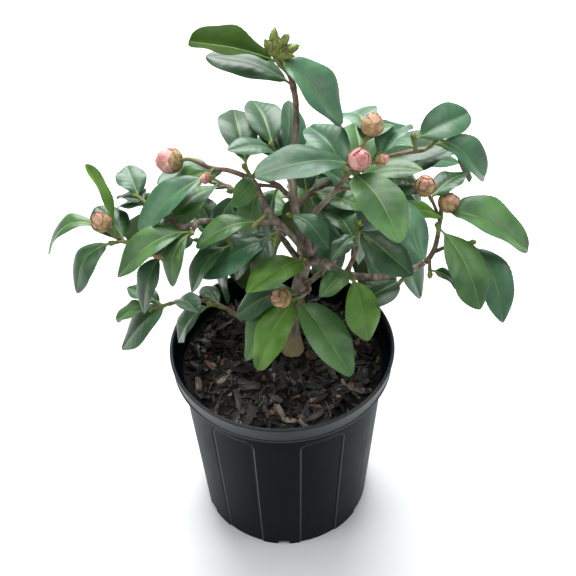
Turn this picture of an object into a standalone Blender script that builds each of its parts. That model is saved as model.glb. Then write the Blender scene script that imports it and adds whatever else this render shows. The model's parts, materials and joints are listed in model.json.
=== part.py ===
"""A camellia in a fluted nursery pot, at its real size in metres, with +Z up.

The origin is the centre of the pot's flat underside, and -Y is the front. Sizes are named in
millimetres and become metres where meshes are made. The plant is planned first, as limbs, twigs,
leaves and buds that keep clear of each other, and is then built from that plan: each limb is one
tapering solid, and each leafy mass is its twigs, leaves and buds fused into one solid.
"""
import itertools
import math
import random
from dataclasses import dataclass

import bmesh
import bpy
from mathutils import Matrix, Vector
from mathutils.bvhtree import BVHTree

MM = 0.001
GAP = 0.3
MERGE = 0.000001
SLIVER = 0.00001
FRONT = -90.0
UP = Vector((0, 0, 1))

# Pot
POT_HEIGHT = 252.0
RIM_RADIUS = 127.0
LIP_RADIUS = 2.2
BAND_FOOT = 232.0
BAND_DRAFT = 0.8
BEAD_RADIUS = 1.9
BODY_TOP = 226.0
BODY_TOP_RADIUS = 117.5
BASE_RADIUS = 104.0
BASE_EDGE = 0.8
WALL = 2.6
FLOOR = 3.0
POT_TURNS = 56
ARC_STEPS = 3

# Fluting: every second panel of the pot's body is sunk
PANELS = 7
PANEL_TURN = -30.6
PANEL_TOP = 209.0
PANEL_CORNER = 9.0
PANEL_DEPTH = 1.3
PANEL_REACH = 12.0

# Drain holes through the corner between wall and floor
DRAINS = 6
DRAIN_TURN = -3.0
DRAIN_WIDTH = 14.0
DRAIN_HEIGHT = 7.0
DRAIN_REACH = 26.0

# Potting bark that fills the pot
BARK_TOP = 228.0
BARK_SHOULDER = 226.0
BARK_EDGE = 223.5
BARK_FLAT_RADIUS = 60.0
BARK_SHOULDER_RADIUS = 100.0

# Limbs and twigs
STEP = 17.0
SQUARE_END = 2.5
FLARE = 4.0
FLARE_HEIGHT = 14.0
TWIG_BOW = 0.08
TWIG_START = 0.8
TWIG_TIP_RADIUS = 1.4
LIMB_SIDES = 8
TWIG_SIDES = 4

# Leaves: the shape that they share, as shares of a leaf's length where no unit is named
LEAF_WIDTH = 0.5
LEAF_STATIONS = (0.0, 0.1, 0.28, 0.58, 0.88)
STALK_END = 0.1
STALK_HALF_WIDTH = 1.3
STALK_THICKNESS = 2.6
LEAF_THICKNESS = 2.0
LEAF_FULLNESS = 0.62
LEAF_ARCH = 0.09
LEAF_FOLD = 0.2
LEAF_SPACING = 9.0
BUD_ROOM = 4.0

# Leaves that no view shows follow a seeded rule
SEED = 11
GOLDEN_ANGLE = 137.5
SPREAD_ANGLE = 66.0
LEAF_DROOP = 0.35
LEAF_LENGTHS = (74.0, 96.0)
WIDTH_CHANGE = 0.03

# The crown's skyline and the gaps in it as the camera sees them, as (x, z) at the depth of the trunk:
# no leaf by rule crosses them
EYE = Vector((0, -754, 1053))
SKYLINE = ((-181, 506), (-164, 494), (-129, 496), (-108, 510), (-86, 518), (-74, 507), (-48, 494), (-43, 517),
           (-49, 550), (-31, 568), (-7, 573), (13, 573), (23, 561), (54, 536), (64, 555), (102, 555),
           (115, 540), (123, 540), (128, 557), (151, 564), (179, 555), (191, 533), (200, 505), (203, 470),
           (189, 463), (171, 473), (168, 459), (191, 449), (223, 430), (259, 392))
GAPS = (((-55, 488), (-35, 494), (-25, 480), (-28, 466), (-52, 465), (-55, 488)),
        ((-18, 481), (15, 482), (16, 475), (-15, 472), (-18, 481)),
        ((-107, 384), (-92, 386), (-94, 350), (-74, 342), (-100, 330), (-107, 384)))
CURTAIN_REACH = (0.7, 1.4)

# Clearance between leaves and everything else
LEAF_MARGIN = 0.8
BLADE_START = 2
NUDGES = ((0, 0), (7, 0), (-7, 0), (0, 7), (0, -7), (13, 5), (-13, 5), (13, -6), (-13, -6), (22, 0), (-22, 0))
SHORTENED = (1.0, 0.86, 0.72)

# Radius and length of each kind of bud
BUDS = {"full": (13.2, 29.0), "pink": (10.6, 24.0), "tan": (10.0, 22.0), "small": (5.5, 14.0),
        "green": (3.0, 20.0), "spear": (3.4, 26.0)}
BUD_ROOT = 3.0


@dataclass
class Twig:
    """A side twig of a mass: it leaves the stem at a share of its length and ends at a point.

    Its shown leaves are (bearing, rise, length) and may add a roll, and None leaves a place empty.
    More leaves follow the seeded rule.
    """
    at: float
    end: tuple
    shown: tuple = ()
    more: int = 0
    buds: tuple = ()


@dataclass
class Line:
    """A limb from its parent's centre line to the tip of its own leading shoot.

    Its parent carries it as far as stub, it is a bough as far as bough, and a mass from there on.
    """
    name: str
    parent: str
    at: float
    via: tuple
    radii: tuple
    stub: float
    bough: float
    shown: tuple = ()
    more: int = 0
    buds: tuple = ()
    twigs: tuple = ()


@dataclass
class Leaf:
    """A leaf: its root, the direction of its chord, the way its upper face looks, and its sizes."""
    root: Vector
    along: Vector
    face: Vector
    length: float
    width: float


@dataclass
class Bud:
    """A bud: the point it grows from, its axis and its kind."""
    root: Vector
    axis: Vector
    kind: str


TRUNK = Line("trunk", "", 0.0, ((12, 10, 228.3), (12, 10, 275), (20, 6, 330), (29, -1, 385)),
             (9.6, 6.4), 0, 0)

LINES = (
    Line("leader", "trunk", 1.0,
         ((18, 0, 436), (16, 5, 481), (20, 10, 541), (19, 12, 568), (15, 12, 588),
          (7, 12, 599), (2, 12, 609)),
         (4.5, 2.4), 34, 172,
         shown=((-24, -41, 86), (170, 13, 84), None, None, (164, 17, 84)),
         buds=(("spear", 4, 58), ("spear", 89, 60), ("spear", 8, 18), ("green", -14, 4), ("green", -90, 70),
               ("green", 180, 60))),
    Line("upper_left", "leader", 0.37, ((6, 12, 488), (-3, 15, 507)), (2.6, 1.6), 17, 17,
         shown=((104, 5, 80), (-151, 28, 59), (88, 21, 75, 55)), more=1),
    Line("left_high", "trunk", 1.0,
         ((9, -18, 430), (-8, -10, 447), (-17, 0, 465), (-24, 6, 476), (-46, 15, 482), (-63, 22, 480),
          (-84, 30, 486), (-96, 34, 482)),
         (3.7, 1.9), 34, 96, buds=(("full", 165, -10),),
         twigs=(Twig(0.16, (-29, 10, 486), shown=((99, 12, 87), (-113, 3, 47, -50)), more=1),
                Twig(0.6, (-66, 12, 478), shown=((-178, -29, 90), (-184, -36, 88)),
                     buds=(("small", -150, -15),)))),
    Line("left_over", "left_high", 0.42, ((-13, -21, 452), (-21, -29, 450)), (2.4, 1.8), 9, 9,
         shown=((170, -16, 64),)),
    Line("left_low", "left_high", 0.34,
         ((-33, -12, 438), (-76, -20, 448), (-95, -23, 441), (-125, -20, 424), (-157, -10, 417),
          (-172, -10, 436)),
         (3.1, 1.8), 10, 122,
         shown=((174, -25, 76), (124, 52, 76, 35)), buds=(("tan", 170, 70),),
         twigs=(Twig(0.5, (-164, -14, 419), shown=((-151, -40, 67), (127, 14, 54))),)),
    Line("left_mid", "left_low", 0.42, ((-85, -33, 444), (-100, -38, 432), (-115, -37, 422)),
         (2.4, 1.5), 9, 9,
         shown=((-133, -58, 66), (-184, -20, 48)), buds=(("small", 170, -20),),
         twigs=(Twig(0.1, (-84, -34, 446), shown=((-176, -28, 85), (-123, -46, 56))),)),
    Line("left_back", "left_low", 0.5, ((-115, -5, 446), (-138, 12, 455)), (2.6, 1.6), 8, 8,
         shown=((110, 14, 44), (158, -14, 50), (160, -22, 52)), more=3),
    Line("left_inner", "left_high", 0.3, ((0, -26, 436), (-3, -32, 431)), (2.6, 1.8), 10, 10,
         shown=((-170, -24, 84), (-160, -44, 66))),
    Line("left_under", "left_low", 0.3, ((-53, -24, 434), (-47, -31, 424)), (2.6, 1.6), 8, 8,
         shown=((-150, -39, 62), (172, -55, 58))),
    Line("low_left", "trunk", 0.19,
         ((-10, 6, 262), (-33, 3, 275), (-50, 0, 297), (-69, 0, 315), (-96, 3, 319), (-123, 5, 312),
          (-138, 5, 306)),
         (3.0, 1.7), 18, 70,
         shown=((176, -20, 50), (145, 4, 50), (-167, -41, 82), (-56, 25, 51)),
         twigs=(Twig(0.08, (-74, -8, 322), shown=((-174, -50, 66), (127, -12, 45))),)),
    Line("right_high", "trunk", 1.0, ((33, -15, 442), (54, -28, 485), (73, -40, 526)), (3.7, 2.0), 34, 112,
         shown=((-160, 10, 97), (-61, -15, 86), (122, 12, 74)), buds=(("pink", -60, 60),),
         twigs=(Twig(0.05, (110, -38, 484), shown=((-71, -20, 70),)),
                Twig(0.6, (86, -24, 548), shown=((103, -14, 70), (69, -5, 66)), buds=(("tan", 60, 60),)),
                Twig(0.7, (94, -30, 520), shown=((67, 2, 66),), buds=(("small", 20, 20),)))),
    Line("right_top", "trunk", 0.9,
         ((52, 22, 412), (85, 34, 448), (112, 40, 474), (150, 45, 478), (163, 50, 488)),
         (3.5, 1.8), 26, 130,
         shown=((-2, -42, 72, 25),), more=2,
         twigs=(Twig(0.6, (138, 46, 490), shown=((34, 3, 73, 30), (122, -26, 58))),)),
    Line("right_low", "trunk", 0.93,
         ((46, -25, 393), (61, -42, 394), (95, -42, 386), (137, -30, 386), (156, -22, 402), (163, -5, 447)),
         (4.9, 2.0), 26, 150,
         shown=((-15, -20, 97), (-155, 28, 62)), buds=(("tan", -20, 35),),
         twigs=(Twig(0.1, (151, -38, 388), shown=((-14, -36, 46),)),
                Twig(0.2, (194, -12, 402), shown=((-64, -38, 88),)),
                Twig(0.5, (157, -22, 433), shown=((-54, -48, 92),)),
                Twig(0.75, (143, -8, 470), shown=((-168, -20, 46), (40, 9, 51)), buds=(("tan", -90, 60),)))),
    Line("right_under", "right_low", 0.66, ((130, -28, 376), (123, -31, 368)), (2.4, 1.7), 9, 9,
         shown=((-142, 2, 62),)),
    Line("right_inner", "right_low", 0.3, ((66, -51, 402), (74, -47, 424), (76, -40, 450)), (2.8, 1.7), 9, 9,
         shown=((-51, -7, 74, 30), (-128, 3, 43), (117, 6, 59)), buds=(("green", -80, 60),),
         twigs=(Twig(0.1, (70, -58, 404), shown=((-60, -62, 72), (-130, 1, 46))),)),
    Line("front", "trunk", 0.78, ((30, -20, 352), (15, -50, 368)), (3.4, 1.8), 16, 16,
         shown=((-50, -30, 96), (-136, -42, 88), (-175, -23, 77), (-151, -38, 98)),
         twigs=(Twig(0.55, (6, -56, 376), buds=(("tan", -150, 20),)),)),
    Line("fork", "trunk", 0.95, ((23, -16, 386), (25, -25, 397)), (2.8, 1.9), 17, 17, shown=((-143, 9, 80),)),
    Line("centre", "leader", 0.22, ((16, -8, 440), (12, -14, 447)), (2.6, 1.8), 10, 10,
         shown=((-50, -9, 56),)),
    Line("back_left", "trunk", 0.85, ((5, 30, 378), (-30, 70, 398), (-70, 105, 404), (-95, 128, 396)),
         (3.6, 1.8), 18, 92, more=5,
         twigs=(Twig(0.2, (-62, 122, 384), more=5), Twig(0.4, (-100, 84, 398), more=4))),
    Line("back_right", "trunk", 0.88, ((48, 32, 385), (78, 72, 404), (108, 106, 410), (128, 132, 402)),
         (3.6, 1.8), 18, 96, more=5,
         twigs=(Twig(0.2, (92, 128, 392), more=5), Twig(0.4, (144, 92, 404), more=4))),
    Line("back", "trunk", 0.7, ((22, 42, 352), (18, 88, 368), (14, 132, 368)), (3.3, 1.7), 16, 74, more=5,
         twigs=(Twig(0.2, (-14, 112, 362), more=4), Twig(0.3, (44, 116, 358), more=4))),
    Line("back_low_left", "trunk", 0.5, ((-12, 36, 318), (-56, 74, 330), (-92, 98, 322)), (3.2, 1.7), 16, 80,
         more=4, twigs=(Twig(0.2, (-54, 98, 318), more=3),)),
    Line("back_low_right", "trunk", 0.6, ((52, 36, 330), (92, 72, 342), (124, 92, 334)), (3.2, 1.7), 16, 80,
         more=4, twigs=(Twig(0.2, (90, 98, 326), more=3),)),
    Line("back_high", "leader", 0.42, ((20, 26, 486), (24, 52, 478)), (2.8, 1.7), 10, 10, more=5),
    Line("centre_left", "leader", 0.3, ((-2, 18, 462), (-20, 30, 462), (-34, 42, 456)), (2.8, 1.7), 10, 10,
         more=5, twigs=(Twig(0.2, (-44, 22, 452), more=3),)),
    Line("centre_right", "leader", 0.27, ((36, 18, 450), (54, 30, 454), (70, 46, 450)), (2.8, 1.7), 10, 10,
         more=5, twigs=(Twig(0.2, (76, 24, 446), more=3),)),
)


def heading(bearing, rise):
    """Unit direction at a bearing from +X towards +Y and a rise above level, both in degrees."""
    turn, lift = math.radians(bearing), math.radians(rise)
    return Vector((math.cos(turn) * math.cos(lift), math.sin(turn) * math.cos(lift), math.sin(lift)))


def smooth(points):
    """Points about STEP apart along one smooth curve through the given points."""
    knots = [Vector(point) for point in points]
    padded = [knots[0] * 2 - knots[1], *knots, knots[-1] * 2 - knots[-2]]
    curve = []
    for before, start, end, after in zip(padded, padded[1:], padded[2:], padded[3:]):
        count = max(1, round((end - start).length / STEP))
        for index in range(count):
            t = index / count
            curve.append(0.5 * (2 * start + (end - before) * t
                                + (2 * before - 5 * start + 4 * end - after) * t ** 2
                                + (3 * start - before - 3 * end + after) * t ** 3))
    return curve + [knots[-1]]


def distances(points):
    """How far along the line each of its points lies."""
    along = [0.0]
    for start, end in zip(points, points[1:]):
        along.append(along[-1] + (end - start).length)
    return along


def place_at(points, distance):
    """The point at a distance along a line of points, and the line's direction there."""
    walked = 0.0
    for start, end in zip(points, points[1:]):
        span = (end - start).length
        if distance <= walked + span or end is points[-1]:
            direction = (end - start).normalized()
            return start + direction * (distance - walked), direction
        walked += span


def stretch(points, start, end):
    """The part of a line between two distances, with a short straight run at each end for a square cap."""
    first, leaving = place_at(points, start)
    last, arriving = place_at(points, end)
    inner = [point for point, far in zip(points, distances(points))
             if start + 2 * SQUARE_END < far < end - 2 * SQUARE_END]
    return [first, first + leaving * SQUARE_END, *inner, last - arriving * SQUARE_END, last]


def tapered(points, whole, radii, start=0.0):
    """Radii at the points of a stretch that starts at a distance along a limb of a whole length."""
    return [radii[0] + (radii[1] - radii[0]) * min(1.0, (start + far) / whole) for far in distances(points)]


def loft(rings, cap_point=None):
    """Vertices and faces of a closed skin over rings of equal count, ending in a flat cap or a point."""
    count = len(rings[0])
    verts = [point for ring in rings for point in ring]
    faces = [tuple(reversed(range(count)))]
    for level in range(len(rings) - 1):
        low, high = level * count, (level + 1) * count
        for side in range(count):
            after = (side + 1) % count
            faces.append((low + side, low + after, high + after, high + side))
    top = (len(rings) - 1) * count
    if cap_point is None:
        faces.append(tuple(range(top, top + count)))
    else:
        verts.append(cap_point)
        faces += [(top + side, top + (side + 1) % count, len(verts) - 1) for side in range(count)]
    return verts, faces


def tube_skin(points, radii):
    """A plain round skin along a line, for clearances."""
    rings = []
    for index, (point, radius) in enumerate(zip(points, radii)):
        direction = (points[min(index + 1, len(points) - 1)] - points[max(index - 1, 0)]).normalized()
        across = direction.orthogonal().normalized()
        over = direction.cross(across)
        turns = [2 * math.pi * side / LIMB_SIDES for side in range(LIMB_SIDES)]
        rings.append([point + (across * math.cos(turn) + over * math.sin(turn)) * radius for turn in turns])
    return loft(rings)


def half_width(leaf, share):
    """Half the width of a leaf at a share of its length."""
    if share <= STALK_END:
        return STALK_HALF_WIDTH
    blade = (share - STALK_END) / (1 - STALK_END)
    return STALK_HALF_WIDTH * (1 - blade) + leaf.width / 2 * math.sin(math.pi * blade) ** LEAF_FULLNESS


def leaf_skin(leaf, margin=0.0, first=0):
    """The skin of a leaf as a loft of flat diamonds, from a station on, grown by a margin."""
    side = leaf.face.cross(leaf.along)
    rings = []
    for share in LEAF_STATIONS[first:]:
        middle = leaf.root + leaf.along * leaf.length * share
        middle += leaf.face * leaf.length * LEAF_ARCH * math.sin(math.pi * share ** 0.8)
        half = half_width(leaf, share) + margin
        thickness = STALK_THICKNESS if share <= STALK_END else LEAF_THICKNESS
        rise = leaf.face * (half * LEAF_FOLD if share > STALK_END else 0.0)
        thick = leaf.face * (thickness / 2 + margin)
        rings.append([middle - side * half + rise, middle - thick,
                      middle + side * half + rise, middle + thick])
    tip = leaf.root + leaf.along * (leaf.length + margin)
    return loft(rings, tip)


def bud_solid(bud):
    """A bud as a sphere drawn out along its axis and narrowed towards its tip."""
    radius, length = BUDS[bud.kind]
    solid = bmesh.new()
    bmesh.ops.create_uvsphere(solid, u_segments=7, v_segments=5, radius=1.0)
    turn = UP.rotation_difference(bud.axis).to_matrix()
    for vert in solid.verts:
        level = vert.co.z
        narrow = 1 - 0.25 * max(0.0, level)
        local = Vector((vert.co.x * radius * narrow, vert.co.y * radius * narrow, (level + 1) * length / 2))
        vert.co = bud.root + turn @ (local - Vector((0, 0, BUD_ROOT)))
    return solid


class Plan:
    """The plant as limbs, twigs, leaves and buds, each with the name of the node that holds it."""

    def __init__(self):
        self.limbs = {}
        self.tubes = {}
        self.leaves = {}
        self.buds = {}
        self.skins = []
        self.lines = {}
        self.waiting = []
        self.rng = random.Random(SEED)
        self.lay_limbs()
        self.lay_masses()
        for node, tip, shown, more, has_flower in self.waiting:
            self.lay_shown(node, tip, shown, has_flower)
        for line in (SKYLINE, *GAPS):
            self.hang_curtain(line)
        for node, tip, shown, more, has_flower in self.waiting:
            self.lay_more(node, tip, len(shown), more, has_flower)

    def keep(self, node, skin):
        """Remembers a skin as an obstacle, with the node that owns it."""
        self.skins.append((node, BVHTree.FromPolygons(*skin)))

    def hang_curtain(self, line):
        """Keeps a skin along a line of the outline, in line with the camera, as an obstacle to leaves."""
        ends = [EYE + (Vector((x, 0, z)) - EYE) * reach for reach in CURTAIN_REACH for x, z in line]
        count = len(line)
        faces = [(index, index + 1, count + index + 1, count + index) for index in range(count - 1)]
        self.keep("curtain", (ends, faces))

    def add_tube(self, store, node, points, radii):
        store.setdefault(node, []).append((points, radii))
        self.keep(node, tube_skin(points, radii))

    def lay_limbs(self):
        """Lays the trunk, its fork and the boughs."""
        trunk = smooth(TRUNK.via)
        reach = distances(trunk)
        radii = [width + FLARE * math.exp(-far / FLARE_HEIGHT)
                 for width, far in zip(tapered(trunk, reach[-1], TRUNK.radii), reach)]
        self.lines["trunk"] = trunk
        self.add_tube(self.limbs, "trunk", trunk, radii)
        for line in LINES:
            parent = self.lines[line.parent]
            start, _ = place_at(parent, distances(parent)[-1] * line.at)
            points = smooth([start, *line.via])
            whole = distances(points)[-1]
            self.lines[line.name] = points
            stub = stretch(points, 0, line.stub)
            holder = "trunk" if line.parent == "trunk" else "bough_" + line.parent
            self.add_tube(self.limbs, holder, stub, tapered(stub, whole, line.radii))
            if line.bough > line.stub:
                bough = stretch(points, line.stub + GAP, line.bough)
                self.add_tube(self.limbs, "bough_" + line.name, bough,
                              tapered(bough, whole, line.radii, line.stub + GAP))

    def lay_masses(self):
        """Lays the stem, side twigs and buds of each mass, and notes the leaves to come."""
        for line in LINES:
            node = "foliage_" + line.name
            points = self.lines[line.name]
            whole = distances(points)[-1]
            begin = line.bough + GAP
            stem = stretch(points, begin, whole)
            self.add_tube(self.tubes, node, stem, tapered(stem, whole, line.radii, begin))
            self.lay_buds(node, stem, line.buds)
            self.note(node, stem, line)
            for twig in line.twigs:
                far = (whole - begin) * twig.at
                start, _ = place_at(stem, far)
                end = Vector(twig.end)
                bow = start.lerp(end, 0.5) + UP * (end - start).length * TWIG_BOW
                side = smooth([start, bow, end])
                radius = tapered(stem, whole, line.radii, begin + far)[0] * TWIG_START
                thin = tapered(side, distances(side)[-1], (radius, TWIG_TIP_RADIUS))
                self.add_tube(self.tubes, node, side, thin)
                self.lay_buds(node, side, twig.buds)
                self.note(node, side, twig)

    def note(self, node, tip, bearer):
        has_flower = any(BUDS[kind][0] > BUDS["small"][0] for kind, _, _ in bearer.buds)
        self.waiting.append((node, tip, bearer.shown, bearer.more, has_flower))

    def lay_buds(self, node, points, buds):
        for kind, bearing, rise in buds:
            bud = Bud(points[-1], heading(bearing, rise), kind)
            self.buds.setdefault(node, []).append(bud)
            self.skins.append((node, BVHTree.FromBMesh(bud_solid(bud))))

    def root_of(self, points, index, has_flower):
        """Where leaf number index is rooted: leaves follow each other back from the tip."""
        whole = distances(points)[-1]
        back = 1.0 + index * LEAF_SPACING + (BUD_ROOM if has_flower else 0.0)
        return place_at(points, max(whole - back, whole * 0.12))[0]

    def is_clear(self, node, leaf):
        """Whether a leaf clears all that other nodes hold, and its blade all that its own node holds."""
        whole = BVHTree.FromPolygons(*leaf_skin(leaf, LEAF_MARGIN))
        blade = BVHTree.FromPolygons(*leaf_skin(leaf, LEAF_MARGIN, BLADE_START))
        for owner, skin in self.skins:
            if skin.overlap(blade if owner == node else whole):
                return False
        return True

    def try_leaf(self, node, root, bearing, rise, length, roll=0.0):
        """Adds a leaf, turned or shortened a little where it would touch something, or skips it."""
        slim = LEAF_WIDTH + self.rng.uniform(-WIDTH_CHANGE, WIDTH_CHANGE)
        for share, (turn, lift) in itertools.product(SHORTENED, NUDGES):
            along = heading(bearing + turn, rise + lift)
            face = (UP - along * UP.dot(along)).normalized()
            face = Matrix.Rotation(math.radians(roll), 3, along) @ face
            leaf = Leaf(root, along, face, length * share, length * share * slim)
            if self.is_clear(node, leaf):
                self.leaves.setdefault(node, []).append(leaf)
                self.keep(node, leaf_skin(leaf))
                return True
        return False

    def lay_shown(self, node, points, shown, has_flower):
        for index, leaf in enumerate(shown):
            if leaf and not self.try_leaf(node, self.root_of(points, index, has_flower), *leaf):
                print("skipped shown", node, index, leaf)

    def lay_more(self, node, points, used, more, has_flower):
        """Leaves by rule: each turned on from the last by the golden angle, spread and drooping."""
        _, tip = place_at(points, distances(points)[-1])
        across = tip.orthogonal().normalized()
        over = tip.cross(across)
        offset = self.rng.uniform(0, 360)
        for index in range(used, used + more):
            turn = math.radians(offset + GOLDEN_ANGLE * index)
            spread = math.radians(SPREAD_ANGLE)
            aside = across * math.cos(turn) + over * math.sin(turn)
            way = tip * math.cos(spread) + aside * math.sin(spread)
            way.z -= LEAF_DROOP
            way.normalize()
            bearing = math.degrees(math.atan2(way.y, way.x))
            rise = math.degrees(math.asin(way.z))
            root = self.root_of(points, index, has_flower)
            if not self.try_leaf(node, root, bearing, rise, self.rng.uniform(*LEAF_LENGTHS)):
                print("skipped", node, index)


def new_collection(name):
    collection = bpy.data.collections.new(name)
    bpy.context.scene.collection.children.link(collection)
    return collection


def material(name, colour, roughness):
    """A plain material with a colour and a roughness."""
    made = bpy.data.materials.new(name)
    made.use_nodes = True
    shader = made.node_tree.nodes["Principled BSDF"]
    shader.inputs["Base Color"].default_value = (*colour, 1)
    shader.inputs["Roughness"].default_value = roughness
    shader.inputs["Metallic"].default_value = 0.0
    return made


def add_object(name, data, collection):
    obj = bpy.data.objects.new(name, data)
    collection.objects.link(obj)
    return obj


def as_cutter(obj):
    obj.hide_render = True
    obj.display_type = "WIRE"
    return obj


def boolean(obj, operation, other, solver="EXACT"):
    """Adds a Boolean with an object or with every object of a collection."""
    modifier = obj.modifiers.new(operation.title(), "BOOLEAN")
    modifier.operation = operation
    modifier.solver = solver
    if isinstance(other, bpy.types.Collection):
        modifier.operand_type = "COLLECTION"
        modifier.collection = other
    else:
        modifier.object = other


def evaluated_mesh(obj):
    """The mesh of an object as its modifiers leave it."""
    graph = bpy.context.evaluated_depsgraph_get()
    return bpy.data.meshes.new_from_object(obj.evaluated_get(graph))


def turned(name, profile, collection):
    """A solid turned about Z from a profile of (radius, height), given from the top down its outer side."""
    mesh = bpy.data.meshes.new(name)
    edges = [(index, index + 1) for index in range(len(profile) - 1)]
    if profile[0][0] and profile[-1][0]:
        edges.append((len(profile) - 1, 0))
    mesh.from_pydata([(radius * MM, 0, height * MM) for radius, height in profile], edges, [])
    obj = add_object(name, mesh, collection)
    screw = obj.modifiers.new("Turn", "SCREW")
    screw.axis = "Z"
    screw.steps = POT_TURNS
    screw.render_steps = POT_TURNS
    screw.use_merge_vertices = True
    screw.merge_threshold = 0.00001
    screw.use_smooth_shade = False
    return obj


def arc(centre, radius, start, end):
    """Points of an arc in the (radius, height) plane, between two angles in degrees."""
    angles = [math.radians(start + (end - start) * step / ARC_STEPS) for step in range(ARC_STEPS + 1)]
    return [(centre[0] + radius * math.cos(angle), centre[1] + radius * math.sin(angle)) for angle in angles]


def body_radius(height):
    """Outer radius of the pot's tapering body at a height."""
    return BASE_RADIUS + (BODY_TOP_RADIUS - BASE_RADIUS) * height / BODY_TOP


def pot_profile():
    """The pot's section: up the inside, over the rolled lip, down the band, bead and body, under the base."""
    lip = (RIM_RADIUS - LIP_RADIUS, POT_HEIGHT - LIP_RADIUS)
    band = RIM_RADIUS - LIP_RADIUS
    bead = (band - BAND_DRAFT - BEAD_RADIUS / 2, BAND_FOOT - BEAD_RADIUS)
    inner_band = band - WALL
    return [
        (0.0, FLOOR),
        (body_radius(FLOOR) - WALL, FLOOR),
        (body_radius(BODY_TOP) - WALL, BODY_TOP),
        (inner_band - BAND_DRAFT, BODY_TOP + 2 * BEAD_RADIUS),
        (inner_band, POT_HEIGHT - 3 * LIP_RADIUS),
        *arc(lip, LIP_RADIUS, 180, -60),
        (band, POT_HEIGHT - 3 * LIP_RADIUS),
        (band - BAND_DRAFT, BAND_FOOT),
        *arc(bead, BEAD_RADIUS, 60, -70),
        (BODY_TOP_RADIUS + BAND_DRAFT, BODY_TOP + BAND_DRAFT),
        (body_radius(BODY_TOP - 2), BODY_TOP - 2),
        (body_radius(BASE_EDGE), BASE_EDGE),
        (BASE_RADIUS - BASE_EDGE, 0.0),
        (0.0, 0.0),
    ]


def panel_cutter(index, skin, collection):
    """A sunk panel: a flat outline with round top corners, pushed through the wall and kept to its skin."""
    half = math.tan(math.pi / (2 * PANELS))
    top = body_radius(PANEL_TOP) * half
    foot = body_radius(-PANEL_REACH) * half
    corner = (top - PANEL_CORNER, PANEL_TOP - PANEL_CORNER)
    right = [(foot, -PANEL_REACH), *arc(corner, PANEL_CORNER, 0, 90)]
    outline = right + [(-across, height) for across, height in reversed(right)]
    curve = bpy.data.curves.new("panel outline", "CURVE")
    curve.dimensions = "2D"
    curve.fill_mode = "BOTH"
    curve.extrude = PANEL_REACH * MM
    spline = curve.splines.new("POLY")
    spline.points.add(len(outline) - 1)
    spline.use_cyclic_u = True
    for point, (across, height) in zip(spline.points, outline):
        point.co = (across * MM, height * MM, 0, 1)
    flat = add_object("panel outline", curve, collection)
    solid = evaluated_mesh(flat)
    bpy.data.objects.remove(flat)
    weld(solid)
    cutter = as_cutter(add_object(f"panel_cutter_{index}", solid, collection))
    bearing = math.radians(FRONT + PANEL_TURN + index * 360 / PANELS)
    stand = Matrix.Rotation(math.pi / 2, 4, "X")
    push = Matrix.Translation((0, -body_radius(PANEL_TOP / 2) * MM, 0))
    cutter.matrix_world = Matrix.Rotation(bearing - math.radians(FRONT), 4, "Z") @ push @ stand
    boolean(cutter, "INTERSECT", skin)
    return cutter


def weld(mesh):
    """Joins the loose caps that a curve or an outline leaves, and makes every face flat."""
    solid = bmesh.new()
    solid.from_mesh(mesh)
    bmesh.ops.remove_doubles(solid, verts=solid.verts, dist=MERGE)
    bmesh.ops.triangulate(solid, faces=solid.faces)
    bmesh.ops.recalc_face_normals(solid, faces=solid.faces)
    solid.to_mesh(mesh)
    solid.free()


def make_pot(collection):
    """The pot: a turned shell with sunk panels and drain holes."""
    pot = turned("pot", pot_profile(), collection)
    panels = new_collection("panel cutters")
    shells = new_collection("panel skins")
    low, high = -PANEL_REACH, BODY_TOP
    skin = turned("panel_skin", [
        (body_radius(high) + PANEL_REACH, high), (body_radius(low) + PANEL_REACH, low),
        (body_radius(low) - PANEL_DEPTH, low), (body_radius(high) - PANEL_DEPTH, high)], shells)
    as_cutter(skin)
    for index in range(PANELS):
        panel_cutter(index, skin, panels)
    boolean(pot, "DIFFERENCE", panels, "MANIFOLD")
    drains = new_collection("drain cutters")
    for index in range(DRAINS):
        bearing = math.radians(FRONT + DRAIN_TURN + index * 360 / DRAINS)
        mesh = bpy.data.meshes.new("drain_cutter")
        box = bmesh.new()
        size = Matrix.Diagonal((DRAIN_REACH * MM, DRAIN_WIDTH * MM, 2 * DRAIN_HEIGHT * MM, 1))
        bmesh.ops.create_cube(box, size=1.0, matrix=size)
        box.to_mesh(mesh)
        box.free()
        hole = as_cutter(add_object(f"drain_cutter_{index}", mesh, drains))
        hole.rotation_euler.z = bearing
        hole.location = (math.cos(bearing) * BASE_RADIUS * MM, math.sin(bearing) * BASE_RADIUS * MM, 0)
    boolean(pot, "DIFFERENCE", drains, "MANIFOLD")
    for cutters in (panels, shells, drains):
        cutters.hide_render = True
    weld_slivers = pot.modifiers.new("Weld", "WELD")
    weld_slivers.merge_threshold = SLIVER
    pot.data.materials.append(material("black plastic", (0.022, 0.025, 0.029), 0.42))
    return pot


def make_bark(collection):
    """The potting bark: a low mound that fills the pot to just under its band."""
    inside = WALL + GAP
    bark = turned("potting_bark", [
        (0.0, BARK_TOP), (BARK_FLAT_RADIUS, BARK_TOP), (BARK_SHOULDER_RADIUS, BARK_SHOULDER),
        (body_radius(BARK_EDGE) - inside, BARK_EDGE), (body_radius(FLOOR + GAP) - inside, FLOOR + GAP),
        (0.0, FLOOR + GAP)], collection)
    bark.data.materials.append(material("potting bark", (0.055, 0.036, 0.026), 0.9))


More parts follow.
